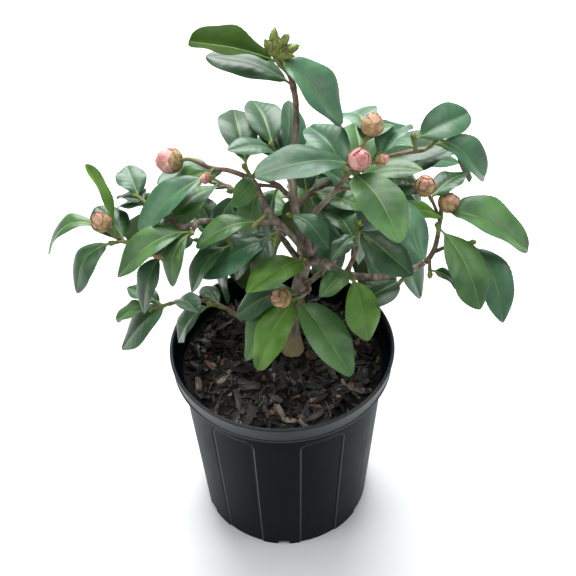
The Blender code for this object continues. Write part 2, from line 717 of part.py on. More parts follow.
def tube_object(name, points, radii, collection, sides):
    """A tapering round limb as a mesh, from a bevelled curve with filled caps."""
    curve = bpy.data.curves.new(name, "CURVE")
    curve.dimensions = "3D"
    curve.bevel_depth = MM
    curve.bevel_resolution = sides // 2 - 2
    curve.use_fill_caps = True
    spline = curve.splines.new("POLY")
    spline.points.add(len(points) - 1)
    for point, place, radius in zip(spline.points, points, radii):
        point.co = (*(place * MM), 1)
        point.radius = radius
    wire = add_object(name, curve, collection)
    mesh = evaluated_mesh(wire)
    bpy.data.objects.remove(wire)
    weld(mesh)
    return add_object(name, mesh, collection)


def leaf_object(name, leaf, collection):
    verts, faces = leaf_skin(leaf)
    mesh = bpy.data.meshes.new(name)
    mesh.from_pydata([vert * MM for vert in verts], [], faces)
    weld(mesh)
    return add_object(name, mesh, collection)


def bud_object(name, bud, collection):
    solid = bud_solid(bud)
    bmesh.ops.scale(solid, vec=(MM, MM, MM), verts=solid.verts)
    mesh = bpy.data.meshes.new(name)
    solid.to_mesh(mesh)
    solid.free()
    return add_object(name, mesh, collection)


def signed_volume(faces):
    """Volume enclosed by a set of triangles, negative where they face inwards."""
    total = 0.0
    for face in faces:
        a, b, c = (vert.co for vert in face.verts)
        total += a.dot(b.cross(c)) / 6
    return total


def bodies_of(solid):
    """The faces of each separate surface of a mesh."""
    bodies = []
    left = set(solid.faces)
    while left:
        body = set()
        edge_of_body = [left.pop()]
        while edge_of_body:
            face = edge_of_body.pop()
            body.add(face)
            near = {other for edge in face.edges for other in edge.link_faces} & left
            left -= near
            edge_of_body.extend(near)
        bodies.append(body)
    return bodies


def keep_one_body(mesh, method):
    """Leaves only the largest closed body, so sealed hollows fill up and loose scraps go.

    Tells whether it is closed.
    """
    solid = bmesh.new()
    solid.from_mesh(mesh)
    bmesh.ops.dissolve_degenerate(solid, dist=SLIVER, edges=solid.edges)
    bmesh.ops.triangulate(solid, faces=solid.faces, ngon_method=method)
    bodies = bodies_of(solid)
    largest = max(bodies, key=signed_volume, default=None)
    scrap = [face for body in bodies if body is not largest for face in body]
    bmesh.ops.delete(solid, geom=scrap, context="FACES")
    closed = bool(solid.faces) and all(edge.is_manifold for edge in solid.edges)
    solid.to_mesh(mesh)
    solid.free()
    return closed


def fuse(name, pieces, collection, finish):
    """Fuses pieces into one named object and removes them."""
    base, *others = pieces
    holding = new_collection("pieces of " + name)
    for piece in others:
        for home in piece.users_collection:
            home.objects.unlink(piece)
        holding.objects.link(piece)
    if others:
        boolean(base, "UNION", holding)
    for solver, method in itertools.product(("EXACT", "MANIFOLD"), ("BEAUTY", "EAR_CLIP")):
        for modifier in base.modifiers:
            modifier.solver = solver
        mesh = evaluated_mesh(base)
        if keep_one_body(mesh, method):
            break
        print("joined another way", name, solver, method)
    for piece in pieces:
        bpy.data.objects.remove(piece)
    bpy.data.collections.remove(holding)
    mesh.name = name
    mesh.materials.clear()
    mesh.materials.append(finish)
    return add_object(name, mesh, collection)


def make_limbs(plan, collection):
    """The trunk with its fork, and each bough with the stubs that it carries."""
    for node, tubes in plan.limbs.items():
        tone = (0.20, 0.165, 0.14) if node == "trunk" else (0.17, 0.13, 0.11)
        pieces = [tube_object(f"{node}_{index}", points, radii, collection, LIMB_SIDES)
                  for index, (points, radii) in enumerate(tubes)]
        fuse(node, pieces, collection, material(node + " bark", tone, 0.85))


def make_masses(plan, collection):
    """Each leafy mass: its stem and twigs, with leaves and buds fused on."""
    for node, tubes in plan.tubes.items():
        pieces = [tube_object(f"{node}_twig_{index}", points, radii, collection, TWIG_SIDES)
                  for index, (points, radii) in enumerate(tubes)]
        pieces += [leaf_object(f"{node}_leaf_{index}", leaf, collection)
                   for index, leaf in enumerate(plan.leaves.get(node, ()))]
        pieces += [bud_object(f"{node}_bud_{index}", bud, collection)
                   for index, bud in enumerate(plan.buds.get(node, ()))]
        fuse(node, pieces, collection, material(node + " leaf", (0.075, 0.19, 0.10), 0.38))


def main():
    for obj in list(bpy.data.objects):
        bpy.data.objects.remove(obj)
    parts = new_collection("potted camellia")
    plan = Plan()
    make_limbs(plan, parts)
    make_masses(plan, parts)
    make_bark(parts)
    make_pot(parts)


main()
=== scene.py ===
"""The looks of a camellia in a fluted nursery pot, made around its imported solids.

Sizes are named in millimetres and become metres where meshes are made, with +Z up and -Y as the front.
The plant is planned by the same table and rule as its solids, so that each fine leaf, twig and bud lies
where its solid lies. Leaves, twigs, buds and bark chips are then made fine, each kind joined into a few
pieces, and the floor, the lights and the camera come last.
"""

import itertools
import json
import math
import random
from dataclasses import dataclass

import bmesh
import bpy
import numpy as np
from mathutils import Matrix, Vector, kdtree, noise
from mathutils.bvhtree import BVHTree

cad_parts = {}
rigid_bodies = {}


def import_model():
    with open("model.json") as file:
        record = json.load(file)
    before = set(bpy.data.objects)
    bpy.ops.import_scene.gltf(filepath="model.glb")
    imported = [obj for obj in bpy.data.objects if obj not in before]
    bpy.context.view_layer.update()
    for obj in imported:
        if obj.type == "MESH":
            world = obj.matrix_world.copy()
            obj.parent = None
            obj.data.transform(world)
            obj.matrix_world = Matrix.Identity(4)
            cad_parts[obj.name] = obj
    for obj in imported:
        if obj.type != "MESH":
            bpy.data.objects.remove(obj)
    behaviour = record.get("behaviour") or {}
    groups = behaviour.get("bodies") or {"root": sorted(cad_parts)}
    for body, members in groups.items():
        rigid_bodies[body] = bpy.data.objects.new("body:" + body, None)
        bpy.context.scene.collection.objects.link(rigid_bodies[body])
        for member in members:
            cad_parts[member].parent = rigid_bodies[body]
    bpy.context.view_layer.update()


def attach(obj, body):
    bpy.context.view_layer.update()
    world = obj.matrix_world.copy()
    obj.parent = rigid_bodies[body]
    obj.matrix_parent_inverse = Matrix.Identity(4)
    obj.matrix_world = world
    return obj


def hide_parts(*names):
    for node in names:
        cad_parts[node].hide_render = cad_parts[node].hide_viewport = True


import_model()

MM = 0.001
GAP = 0.3
FRONT = -90.0
UP = Vector((0, 0, 1))
FOLIAGE = "foliage_"

# Angles in degrees over which an edge shows as a crease
CREASE = 40.0
LEAF_CREASE = 75.0
TUBE_CREASE = 60.0
CHIP_CREASE = 28.0
POT_CREASE = 34.0

# Pot
POT_HEIGHT = 252.0
RIM_RADIUS = 127.0
LIP_RADIUS = 2.2
BAND_FOOT = 232.0
BAND_DRAFT = 0.8
BEAD_RADIUS = 1.9
BODY_TOP = 226.0
BODY_TOP_RADIUS = 117.5
BASE_RADIUS = 104.0
BASE_EDGE = 0.8
WALL = 2.6
FLOOR = 3.0
ARC_STEPS = 7
LIP_ARC = (180, -60)
BEAD_ARC = (60, -70)
POT_COLUMNS = 476
POT_ROW = 8.0
FINE_ROW = 1.3
BAND_TOP = POT_HEIGHT - 3 * LIP_RADIUS
FIRST_ROW = BODY_TOP - 2
LAST_ROW = BASE_EDGE + 4

# Fluting: every second panel of the pot's body is sunk
PANELS = 7
PANEL_TURN = -30.6
PANEL_TOP = 209.0
PANEL_CORNER = 9.0
PANEL_DEPTH = 1.3
PANEL_BEVEL = 1.3
# Panel shares between which the bevel faces, and the profile row from which the lip, band and bead faces,
# take the lighter edge plastic: a painted highlight
PANEL_EDGE = (0.02, 0.98)
RIM_ROW = 3

# Drain holes through the corner between wall and floor
DRAINS = 6
DRAIN_TURN = -3.0
DRAIN_WIDTH = 14.0
DRAIN_HEIGHT = 7.0
DRAIN_REACH = 26.0
DRAIN_ROUND = 2.5
DRAIN_ROUND_STEPS = 4

# Potting bark, with the relief, scale and layer of each wave of its bed
BARK_TOP = 228.0
BARK_EDGE = 223.5
BARK_SINK = 1.5
BARK_RINGS = 46
BARK_TURNS = 160
BARK_WAVES = ((2.2, 0.055, 0), (0.8, 0.2, 5))

# Fine wood and twigs
LIMB_SPACING = 2.5
LIMB_FINE_SIDES = 20
COLLAR = 0.45
COLLAR_REACH = 6.0
WOOD_VOXEL = 0.85
WOOD_SETTLING = {"factor": 0.5, "iterations": 5}
TWIG_SPACING = 2.5
TWIG_FINE_SIDES = 10
TWIG_SWELL = 0.7
TWIG_SWELL_REACH = 3.0
YOUNG_WOOD = 20.0

# Relief of the bark on a limb: lumps and grain have a scale across the limb and one along it
BARK_LUMPS = (1.7, 0.05)
BARK_GRAIN = (6, 0.35)
RIDGE_SCALE = 2.3
LUMP_HEIGHT = 0.55
RIDGE_HEIGHT = 0.30
GRAIN_HEIGHT = 0.16
RING_HEIGHT = 0.3
RING_SPACING = 27.0
RING_WIDTH = 2.2
FULL_RELIEF_RADIUS = 6
LEAST_OFFSET = 0.3
LIMB_SEED = (7.3, 3.1, 5.7)

# Fine buds: their scales, their closed hearts, and the small shoot buds on bare tips
SCALE_ROWS = 7
SCALE_COLUMNS = 8
SCALE_THICKNESS = 0.3
SCALE_WIDTHS = (0.72, 0.28)
SCALE_POINT = 2.6
SCALE_END = 1.001
SCALE_CURL = 0.25
SCALE_CROWDING = 0.3
LARGE_BUD = 4
LARGE_STEP = 0.55
SMALL_STEP = 0.25
BUD_SHOULDER = 0.82
BUD_FULLNESS = 0.62
PETAL_FOOT = 0.1
HEART_WIDTH = 0.93
HEART_LENGTH = 0.97
HEART_LEAST = 0.02
HEART_STEPS = 12
SHOOT_BUD = (2.0, 9.0)
SHOOT_PLUMPNESS = 1.35
SHOOT_DEPTH = 0.4
SHOOT_ROOM = 3

# The shape of a bark chip, as shares of its length, or of its width and thickness
CHIP_STEPS = 5
CHIP_WIDTHS = (0.22, 0.5)
CHIP_THICKNESSES = (0.1, 0.2)
CHIP_CURL = 0.12
CHIP_SPAN = (0.15, 0.7)
CHIP_NARROW = (0.55, 0.45)
CHIP_UNEVEN = (0.75, 1.1)
CHIP_SHIFT = 0.04
CHIP_BREAK = 0.035
CHIP_ROUGH = 0.02
CHIP_CORNERS = ((-1, -1), (0, -1.3), (1, -0.8), (1.05, 0.7), (0.1, 1.2), (-0.9, 1))

# Bark chips strewn over the bed: sizes in millimetres, tilts in degrees, and the dark and light of each tone
CHIP_SHAPES = 24
CHIPS = 1500
CHIP_SIZES = (5.0, 27.0)
CHIP_SMALLNESS = 2.6
CHIP_EDGE = 0.4
CHIP_LAYERS = (-0.8, 2.6)
CHIP_TIP = 17
CHIP_LEAN = 24
CHIP_SURFACE = (0.42, 190.0, 0.6, 0.3)
CHIP_TONES = {
    "black": ((0.0016, 0.0013, 0.001), (0.0055, 0.0042, 0.0032)),
    "dark": ((0.0035, 0.0024, 0.0018), (0.013, 0.0085, 0.006)),
    "brown": ((0.014, 0.008, 0.005), (0.046, 0.027, 0.017)),
    "red": ((0.10, 0.045, 0.028), (0.26, 0.13, 0.085)),
    "pale": ((0.16, 0.12, 0.09), (0.34, 0.26, 0.20)),
}
CHIP_MIX = (37, 36, 18, 6, 3)
WALL_ROOM = 1.5
TRUNK_ROOM = 14.0
TRUNK_ROOM_SHARE = 0.25

# Straws on the bark
STRAWS = 46
STRAW_EDGE = 16
STRAW_TURN = 7
STRAW_BOW = 4
STRAW_LENGTHS = (9, 26)
STRAW_RADII = (0.3, 0.6)
STRAW_KNOTS = 6
STRAW_LEAST = 4
STRAW_SPACING = 2.5
STRAW_SIDES = 6
STRAW_LIFT = 3.4

# Leaf tones: deep and light colour, roughness, wax and gloss
LEAF_TONES = {
    "deep": ((0.016, 0.062, 0.020), (0.042, 0.128, 0.042), 0.42, 0.25, 0.5),
    "blue": ((0.030, 0.104, 0.046), (0.072, 0.200, 0.092), 0.42, 0.3, 0.5),
    "mid": ((0.036, 0.112, 0.026), (0.088, 0.215, 0.052), 0.43, 0.25, 0.5),
    "bright": ((0.050, 0.150, 0.010), (0.125, 0.280, 0.030), 0.45, 0.15, 0.4),
    # The olive tone is dark and dull: painted shade for a leaf turned away from the light
    "olive": ((0.018, 0.048, 0.002), (0.036, 0.082, 0.005), 0.75, 0.0, 0.12),
}

# Masses at the back and inside that get more leaves by rule than their solids have
FILLING_LEAVES = 4
FILLED_MASSES = ("left_back", "centre_left", "centre_right", "back_high", "back_left",
                 "back_right", "back", "back_low_left", "back_low_right")

# How often each tone is dealt out, and the tones of leaves that the photo shows, by line and number; the
# leader's second leaf takes the olive tone as painted shade
COMMON_TONES = {"deep": 34, "blue": 40, "mid": 26}
RARE_TONES = {
    "leader": {0: "blue", 1: "olive"}, "left_low": {1: "bright", 3: "deep"}, "fork": {0: "bright"},
    "right_low": {0: "mid", 1: "bright", 4: "mid"},
    "left_mid": {0: "deep", 1: "deep", 2: "mid", 3: "mid"}, "left_high": {2: "blue", 3: "mid"},
    "right_high": {0: "blue"}, "front": {0: "mid", 1: "bright", 2: "deep", 3: "mid"},
    "low_left": {1: "deep", 2: "deep"}, "right_inner": {3: "bright", 4: "mid"},
    "right_under": {0: "deep"},
}

# How far a leaf's habit may differ from the next leaf's
HABIT_SPANS = {
    "arch": (0.8, 1.8), "fold": (0.3, 0.65), "roll": (0.15, 0.42), "wave": (0.4, 1.6),
    "phase": (0, 2 * math.pi), "twist": (-0.3, 0.3), "bend": (-0.03, 0.03), "droop": (0.0, 0.04),
    "slim": (0.9, 1.04), "full": (0.5, 0.68), "shift": (0.85, 1.2), "point": (0.0, 0.3),
}

# Leaves that the photo shows curled, flat or blunt, by line and number
RARE_HABITS = {
    "leader": {
        0: {"arch": 0.9, "slim": 1.25, "twist": 0.0},
        1: {"arch": 0.6, "full": 0.48, "shift": 1.5, "point": 0.0, "wave": 2.0, "slim": 1.05},
        2: {"arch": 1.0, "slim": 1.05, "shift": 1.2},
    },
    "left_low": {
        0: {"arch": 3.2, "slim": 0.75, "shift": 1.1},
        1: {"arch": 0.6, "slim": 0.5, "full": 0.5, "shift": 1.8, "point": 0.0, "fold": 0.7},
        2: {"arch": 2.6, "slim": 0.95},
        3: {"slim": 1.35, "fold": 0.3, "twist": 0.0},
    },
    "left_mid": {
        2: {"arch": 1.7, "slim": 0.88, "fold": 0.6},
        3: {"arch": 2.8, "slim": 0.8},
    },
    "left_back": {
        0: {"slim": 1.35, "fold": 0.3, "roll": 0.2},
        1: {"slim": 1.35, "fold": 0.3, "roll": 0.2},
        2: {"slim": 1.4, "fold": 0.3, "arch": 1.2, "roll": 0.2},
    },
    "left_under": {
        0: {"arch": 2.2},
    },
    "left_over": {
        0: {"arch": 1.6, "slim": 1.0},
    },
    "low_left": {
        2: {"arch": 0.8, "fold": 0.25, "twist": 0.0, "slim": 1.15},
    },
    "right_high": {
        0: {"arch": 1.1, "fold": 0.35, "twist": 0.0, "slim": 0.98},
        1: {"arch": 1.2, "fold": 0.3, "twist": 0.0, "slim": 1.0, "full": 0.5},
        3: {"arch": 1.4, "fold": 0.3, "slim": 1.05, "full": 0.45},
    },
    "right_low": {
        0: {"arch": 0.9, "slim": 1.18, "full": 0.45, "point": 0.0, "twist": 0.0},
        3: {"arch": 1.8, "fold": 0.6, "slim": 0.88},
        4: {"arch": 1.3, "fold": 0.3, "twist": 0.0},
    },
    "right_under": {
        0: {"arch": 0.8, "slim": 1.2},
    },
    "right_top": {
        0: {"arch": 1.3, "slim": 1.05, "full": 0.45, "point": 0.0},
        1: {"arch": 1.4, "slim": 1.0, "full": 0.5, "point": 0.0},
    },
    "front": {
        0: {"arch": 1.1, "fold": 0.4, "twist": 0.0},
        1: {"arch": 1.3, "fold": 0.4, "twist": 0.0, "full": 0.5},
    },
    "fork": {
        0: {"arch": 0.9, "fold": 0.35, "twist": 0.0, "full": 0.52},
    },
}

# Noises of the finishes, as scale and detail, and the stretch of those that run along a piece
LEAF_DRIFT = (34.0, 3.0)
LEAF_GRAIN = (900.0, 2.0)
BARK_STREAKS = (160.0, 4.0)
BARK_PATCHES = (45.0, 2.0)
BARK_PORES = (700.0, 3.0)
STREAK_STRETCH = (1.0, 1.0, 0.28)
DUST = (22.0, 6.0)
SCUFFS = (260.0, 3.0)
SCUFF_STRETCH = (1.0, 1.0, 0.12)
MOULD_GRAIN = (1400.0, 2.0)
PLAIN_DETAIL = 4.0
PLAIN_GRAIN = (6, 3.0)

# The sockets of a colour's Mix node: its factor and two colours, and what comes out
MIX_INPUTS = (0, 6, 7)
MIX_OUTPUT = 2

# Gloss of the leaves' wax and of the damp chips' coat, and the depth of each grain in millimetres
WAX_ROUGHNESS = 0.33
WAX_IOR = 1.45
COAT_ROUGHNESS = 0.25
LEAF_GRAIN_DEPTH = 0.09
BARK_DEPTH = 0.5
MOULD_DEPTH = 0.05

# Where each finish turns from its dark tone to its light one
LEAF_STOPS = (0.36, 0.66)
PLAIN_STOPS = (0.36, 0.64)
PLASTIC_STOPS = (0.4, 0.68)

# How far the noises dull the gloss, and how rough a surface is where they are least
ROUGHNESS_DROP = 0.1
LEAF_DULLING = (0.12, 0.08)
PLAIN_DULLING = 0.2
BARK_DULLING = 0.2
BARK_ROUGHNESS = 0.68
PORE_SHARE = 0.4
DUST_SHARES = (0.7, 0.3)
DUST_DULLING = (0.16, 0.12)
PLASTIC_ROUGHNESS = 0.27

# Colours of the stems' bark: its streaks, its greenish stains, and the pale stain at the trunk's foot with
# its top in metres and how sharply it ends there
BARK_TONES = ((0.32, (0.075, 0.055, 0.043)), (0.5, (0.21, 0.165, 0.135)), (0.68, (0.42, 0.35, 0.29)))
BLACK = (0, 0, 0)
WHITE = (1, 1, 1)
MOSS = (0.26, 0.22, 0.08)
MOSS_STRENGTH = 0.35
MOSS_PATCHES = ((0.56, BLACK), (0.72, WHITE))
FOOT_STAIN = (0.55, 0.44, 0.22)
FOOT_STAIN_STRENGTH = 0.75
FOOT_STAIN_EDGE = ((0.5, BLACK), (0.8, WHITE))
FOOT_STAIN_TOP = 0.275
FOOT_STAIN_RISE = 14.0

# Plain finishes: dark and light tone, roughness, scale, and the depth of the grain. The darker scale rims are
# partly real brown edges and partly painted shade where the scales overlap
PLAIN_FINISHES = {
    "leaf midrib": ((0.12, 0.20, 0.045), (0.24, 0.34, 0.09), 0.45, 60.0, 0.1),
    "leaf underside": ((0.075, 0.135, 0.035), (0.13, 0.20, 0.065), 0.6, 50.0, 0.1),
    "twig bark": ((0.09, 0.055, 0.035), (0.25, 0.17, 0.12), 0.75, 150.0, 0.4),
    "green shoot": ((0.11, 0.12, 0.03), (0.22, 0.24, 0.07), 0.55, 120.0, 0.2),
    "bud scale": ((0.33, 0.20, 0.08), (0.60, 0.42, 0.22), 0.6, 200.0, 0.25),
    "bud scale rim": ((0.22, 0.115, 0.05), (0.42, 0.25, 0.13), 0.6, 300.0, 0.2),
    "petal": ((0.60, 0.21, 0.21), (0.82, 0.46, 0.40), 0.5, 140.0, 0.15),
    "blushed scale": ((0.52, 0.30, 0.16), (0.76, 0.50, 0.34), 0.55, 160.0, 0.2),
    "shoot scale": ((0.12, 0.18, 0.03), (0.27, 0.33, 0.08), 0.5, 200.0, 0.2),
    "shoot scale rim": ((0.10, 0.09, 0.02), (0.22, 0.2, 0.06), 0.5, 200.0, 0.2),
    "young leaf": ((0.16, 0.26, 0.04), (0.3, 0.4, 0.09), 0.45, 200.0, 0.15),
    "fine bark": ((0.003, 0.002, 0.0014), (0.014, 0.009, 0.006), 0.75, 220.0, 1.2),
}
FLOWER_FINISHES = ("bud scale", "bud scale rim", "petal", "blushed scale")
SHOOT_FINISHES = ("shoot scale", "shoot scale rim", "young leaf")
PETAL = 2
BLUSH = 3

# Plastics: deep and light tone, and gloss. The edge plastic's lighter blue-grey tones are a painted highlight
# along the lip, band and panel edges, with a real higher gloss
PLASTICS = {
    "black plastic": ((0.0015, 0.003, 0.0052), (0.0045, 0.0068, 0.0105), 0.045),
    "worn plastic edge": ((0.007, 0.012, 0.016), (0.020, 0.029, 0.036), 0.42),
}

# Floor, light and camera: the lamps and the camera in metres and degrees
FLOOR_COLOUR = (0.92, 0.92, 0.92)
FLOOR_ROUGHNESS = 0.9
FLOOR_CORNERS = ((-30000, -30000), (30000, -30000), (30000, 30000), (-30000, 30000))
SKY_COLOUR = (0.93, 0.97, 1.0)
SKY_STRENGTH = 0.42
LAMP_AIM = Vector((0, 0, 0.35))
LAMPS = (
    ("back", (-0.1, 1.7, 2.2), 2.2, 104.0, (0.98, 0.99, 1.0)),
    ("top", (-0.1, 0.0, 2.6), 1.2, 18.0, (1.0, 0.99, 0.97)),
    ("left", (-1.6, -0.6, 1.7), 1.0, 9.0, (1.0, 0.98, 0.95)),
    ("right", (1.6, -0.5, 1.7), 1.0, 8.0, (0.97, 0.98, 1.0)),
)
CAMERA_PLACE = Vector((0, -0.7544, 1.05255))
CAMERA_AIM = (89.37, -43.55)
CAMERA_ROLL = -1.43
LENS = 60.75

# Limbs and twigs of the plan
STEP = 17.0
SQUARE_END = 2.5
FLARE = 4.0
FLARE_HEIGHT = 14.0
TWIG_BOW = 0.08
TWIG_START = 0.8
TWIG_TIP_RADIUS = 1.4
LIMB_SIDES = 8

# Leaves: the shape that they share, as shares of a leaf's length where no unit is named
LEAF_WIDTH = 0.5
LEAF_STATIONS = (0.0, 0.1, 0.28, 0.58, 0.88)
STALK_END = 0.1
STALK_HALF_WIDTH = 1.3
STALK_THICKNESS = 2.6
LEAF_THICKNESS = 2.0
LEAF_FULLNESS = 0.62
LEAF_ARCH = 0.09
ARCH_LEAN = 0.8
LEAF_FOLD = 0.2
FIRST_LEAF = 1.0
LAST_LEAF = 0.12
LEAF_SPACING = 9.0
BUD_ROOM = 4.0

# Leaves that no view shows follow a seeded rule
SEED = 11
BUD_SEED = 12
CHIP_SEED = 13
LEAF_SEED = 14
GOLDEN_ANGLE = 137.5
SPREAD_ANGLE = 66.0
LEAF_DROOP = 0.35
LEAF_LENGTHS = (74.0, 96.0)
WIDTH_CHANGE = 0.03

# The crown's skyline and the gaps in it as the camera sees them, as (x, z) at the depth of the trunk:
# no leaf by rule crosses them
EYE = Vector((0, -754, 1053))
SKYLINE = ((-181, 506), (-164, 494), (-129, 496), (-108, 510), (-86, 518), (-74, 507), (-48, 494), (-43, 517),
           (-49, 550), (-31, 568), (-7, 573), (13, 573), (23, 561), (54, 536), (64, 555), (102, 555),
           (115, 540), (123, 540), (128, 557), (151, 564), (179, 555), (191, 533), (200, 505), (203, 470),
           (189, 463), (171, 473), (168, 459), (191, 449), (223, 430), (259, 392))
GAPS = (((-55, 488), (-35, 494), (-25, 480), (-28, 466), (-52, 465), (-55, 488)),
        ((-18, 481), (15, 482), (16, 475), (-15, 472), (-18, 481)),
        ((-107, 384), (-92, 386), (-94, 350), (-74, 342), (-100, 330), (-107, 384)))
CURTAIN_REACH = (0.7, 1.4)

# Clearance between leaves and everything else
LEAF_MARGIN = 0.8
BLADE_START = 2
NUDGES = ((0, 0), (7, 0), (-7, 0), (0, 7), (0, -7), (13, 5), (-13, 5), (13, -6), (-13, -6), (22, 0), (-22, 0))
SHORTENED = (1.0, 0.86, 0.72)

# Radius and length of each kind of bud
BUDS = {"full": (13.2, 29.0), "pink": (10.6, 24.0), "tan": (10.0, 22.0), "small": (5.5, 14.0),
        "green": (3.0, 20.0), "spear": (3.4, 26.0)}
BUD_ROOT = 3.0
BUD_SIDES = 7
BUD_LEVELS = 5
BUD_NARROWING = 0.25

# Fine leaves: rows along a leaf follow its side veins, and the sizes are shares of its length or millimetres
LEAF_ROWS = 42
ROWS_A_VEIN = 5
VEIN_SLANT = 0.15
COLUMN_SHARES = (0.0, 0.14, 0.34, 0.56, 0.78, 1.0)
BLADE_HALF_THICKNESS = 0.42
EDGE_THINNING = 4
STALK_RADIUS = 1.15
MIDRIB_HALF_WIDTH = (0.65, 0.2)
MIDRIB_SHARE = 0.35
MIDRIB_GROOVE = 0.28
MIDRIB_RIDGE = 0.8
RIDGE_END = 1.05
VEIN_PILLOW = 0.24
PILLOW_ROUND = 0.7
PILLOW_WIDTHS = (0, 6)
TOOTH = 0.22
RIPPLES = 2.2
RIPPLE_OFFSET = 1.7
LEAST_HALF = 0.1
LEAST_STALK = 0.01

# Where along a leaf each of these begins, and where it is whole
BLADE_SPAN = (STALK_END - 0.03, STALK_END + 0.07)
TOOTH_SPAN = (0.16, 0.3)
TWIST_SPAN = (0.1, 1.0)
DROOP_SPAN = (0.45, 1.0)
POINT_SPAN = (0.7, 1.0)


@dataclass
class Twig:
    """A side twig of a mass: it leaves the stem at a share of its length and ends at a point.

    Its shown leaves are (bearing, rise, length) and may add a roll, and None leaves a place on the twig
    empty. More leaves follow the seeded rule.
    """
    at: float
    end: tuple
    shown: tuple = ()
    more: int = 0
    buds: tuple = ()


@dataclass
class Line:
    """A limb from its parent's centre line to the tip of its own leading shoot.

    Its parent carries it as far as stub, it is a bough as far as bough, and a mass from there on.
    """
    name: str
    parent: str
    at: float
    via: tuple
    radii: tuple
    stub: float
    bough: float
    shown: tuple = ()
    more: int = 0
    buds: tuple = ()
    twigs: tuple = ()


@dataclass
class Leaf:
    """A leaf: its root, the direction of its chord, the way its upper face looks, and its sizes."""
    root: Vector
    along: Vector
    face: Vector
    length: float
    width: float


@dataclass
class Bud:
    """A bud: the point it grows from, its axis and its kind."""
    root: Vector
    axis: Vector
    kind: str


TRUNK = Line("trunk", "", 0.0, ((12, 10, 228.3), (12, 10, 275), (20, 6, 330), (29, -1, 385)),
             (9.6, 6.4), 0, 0)

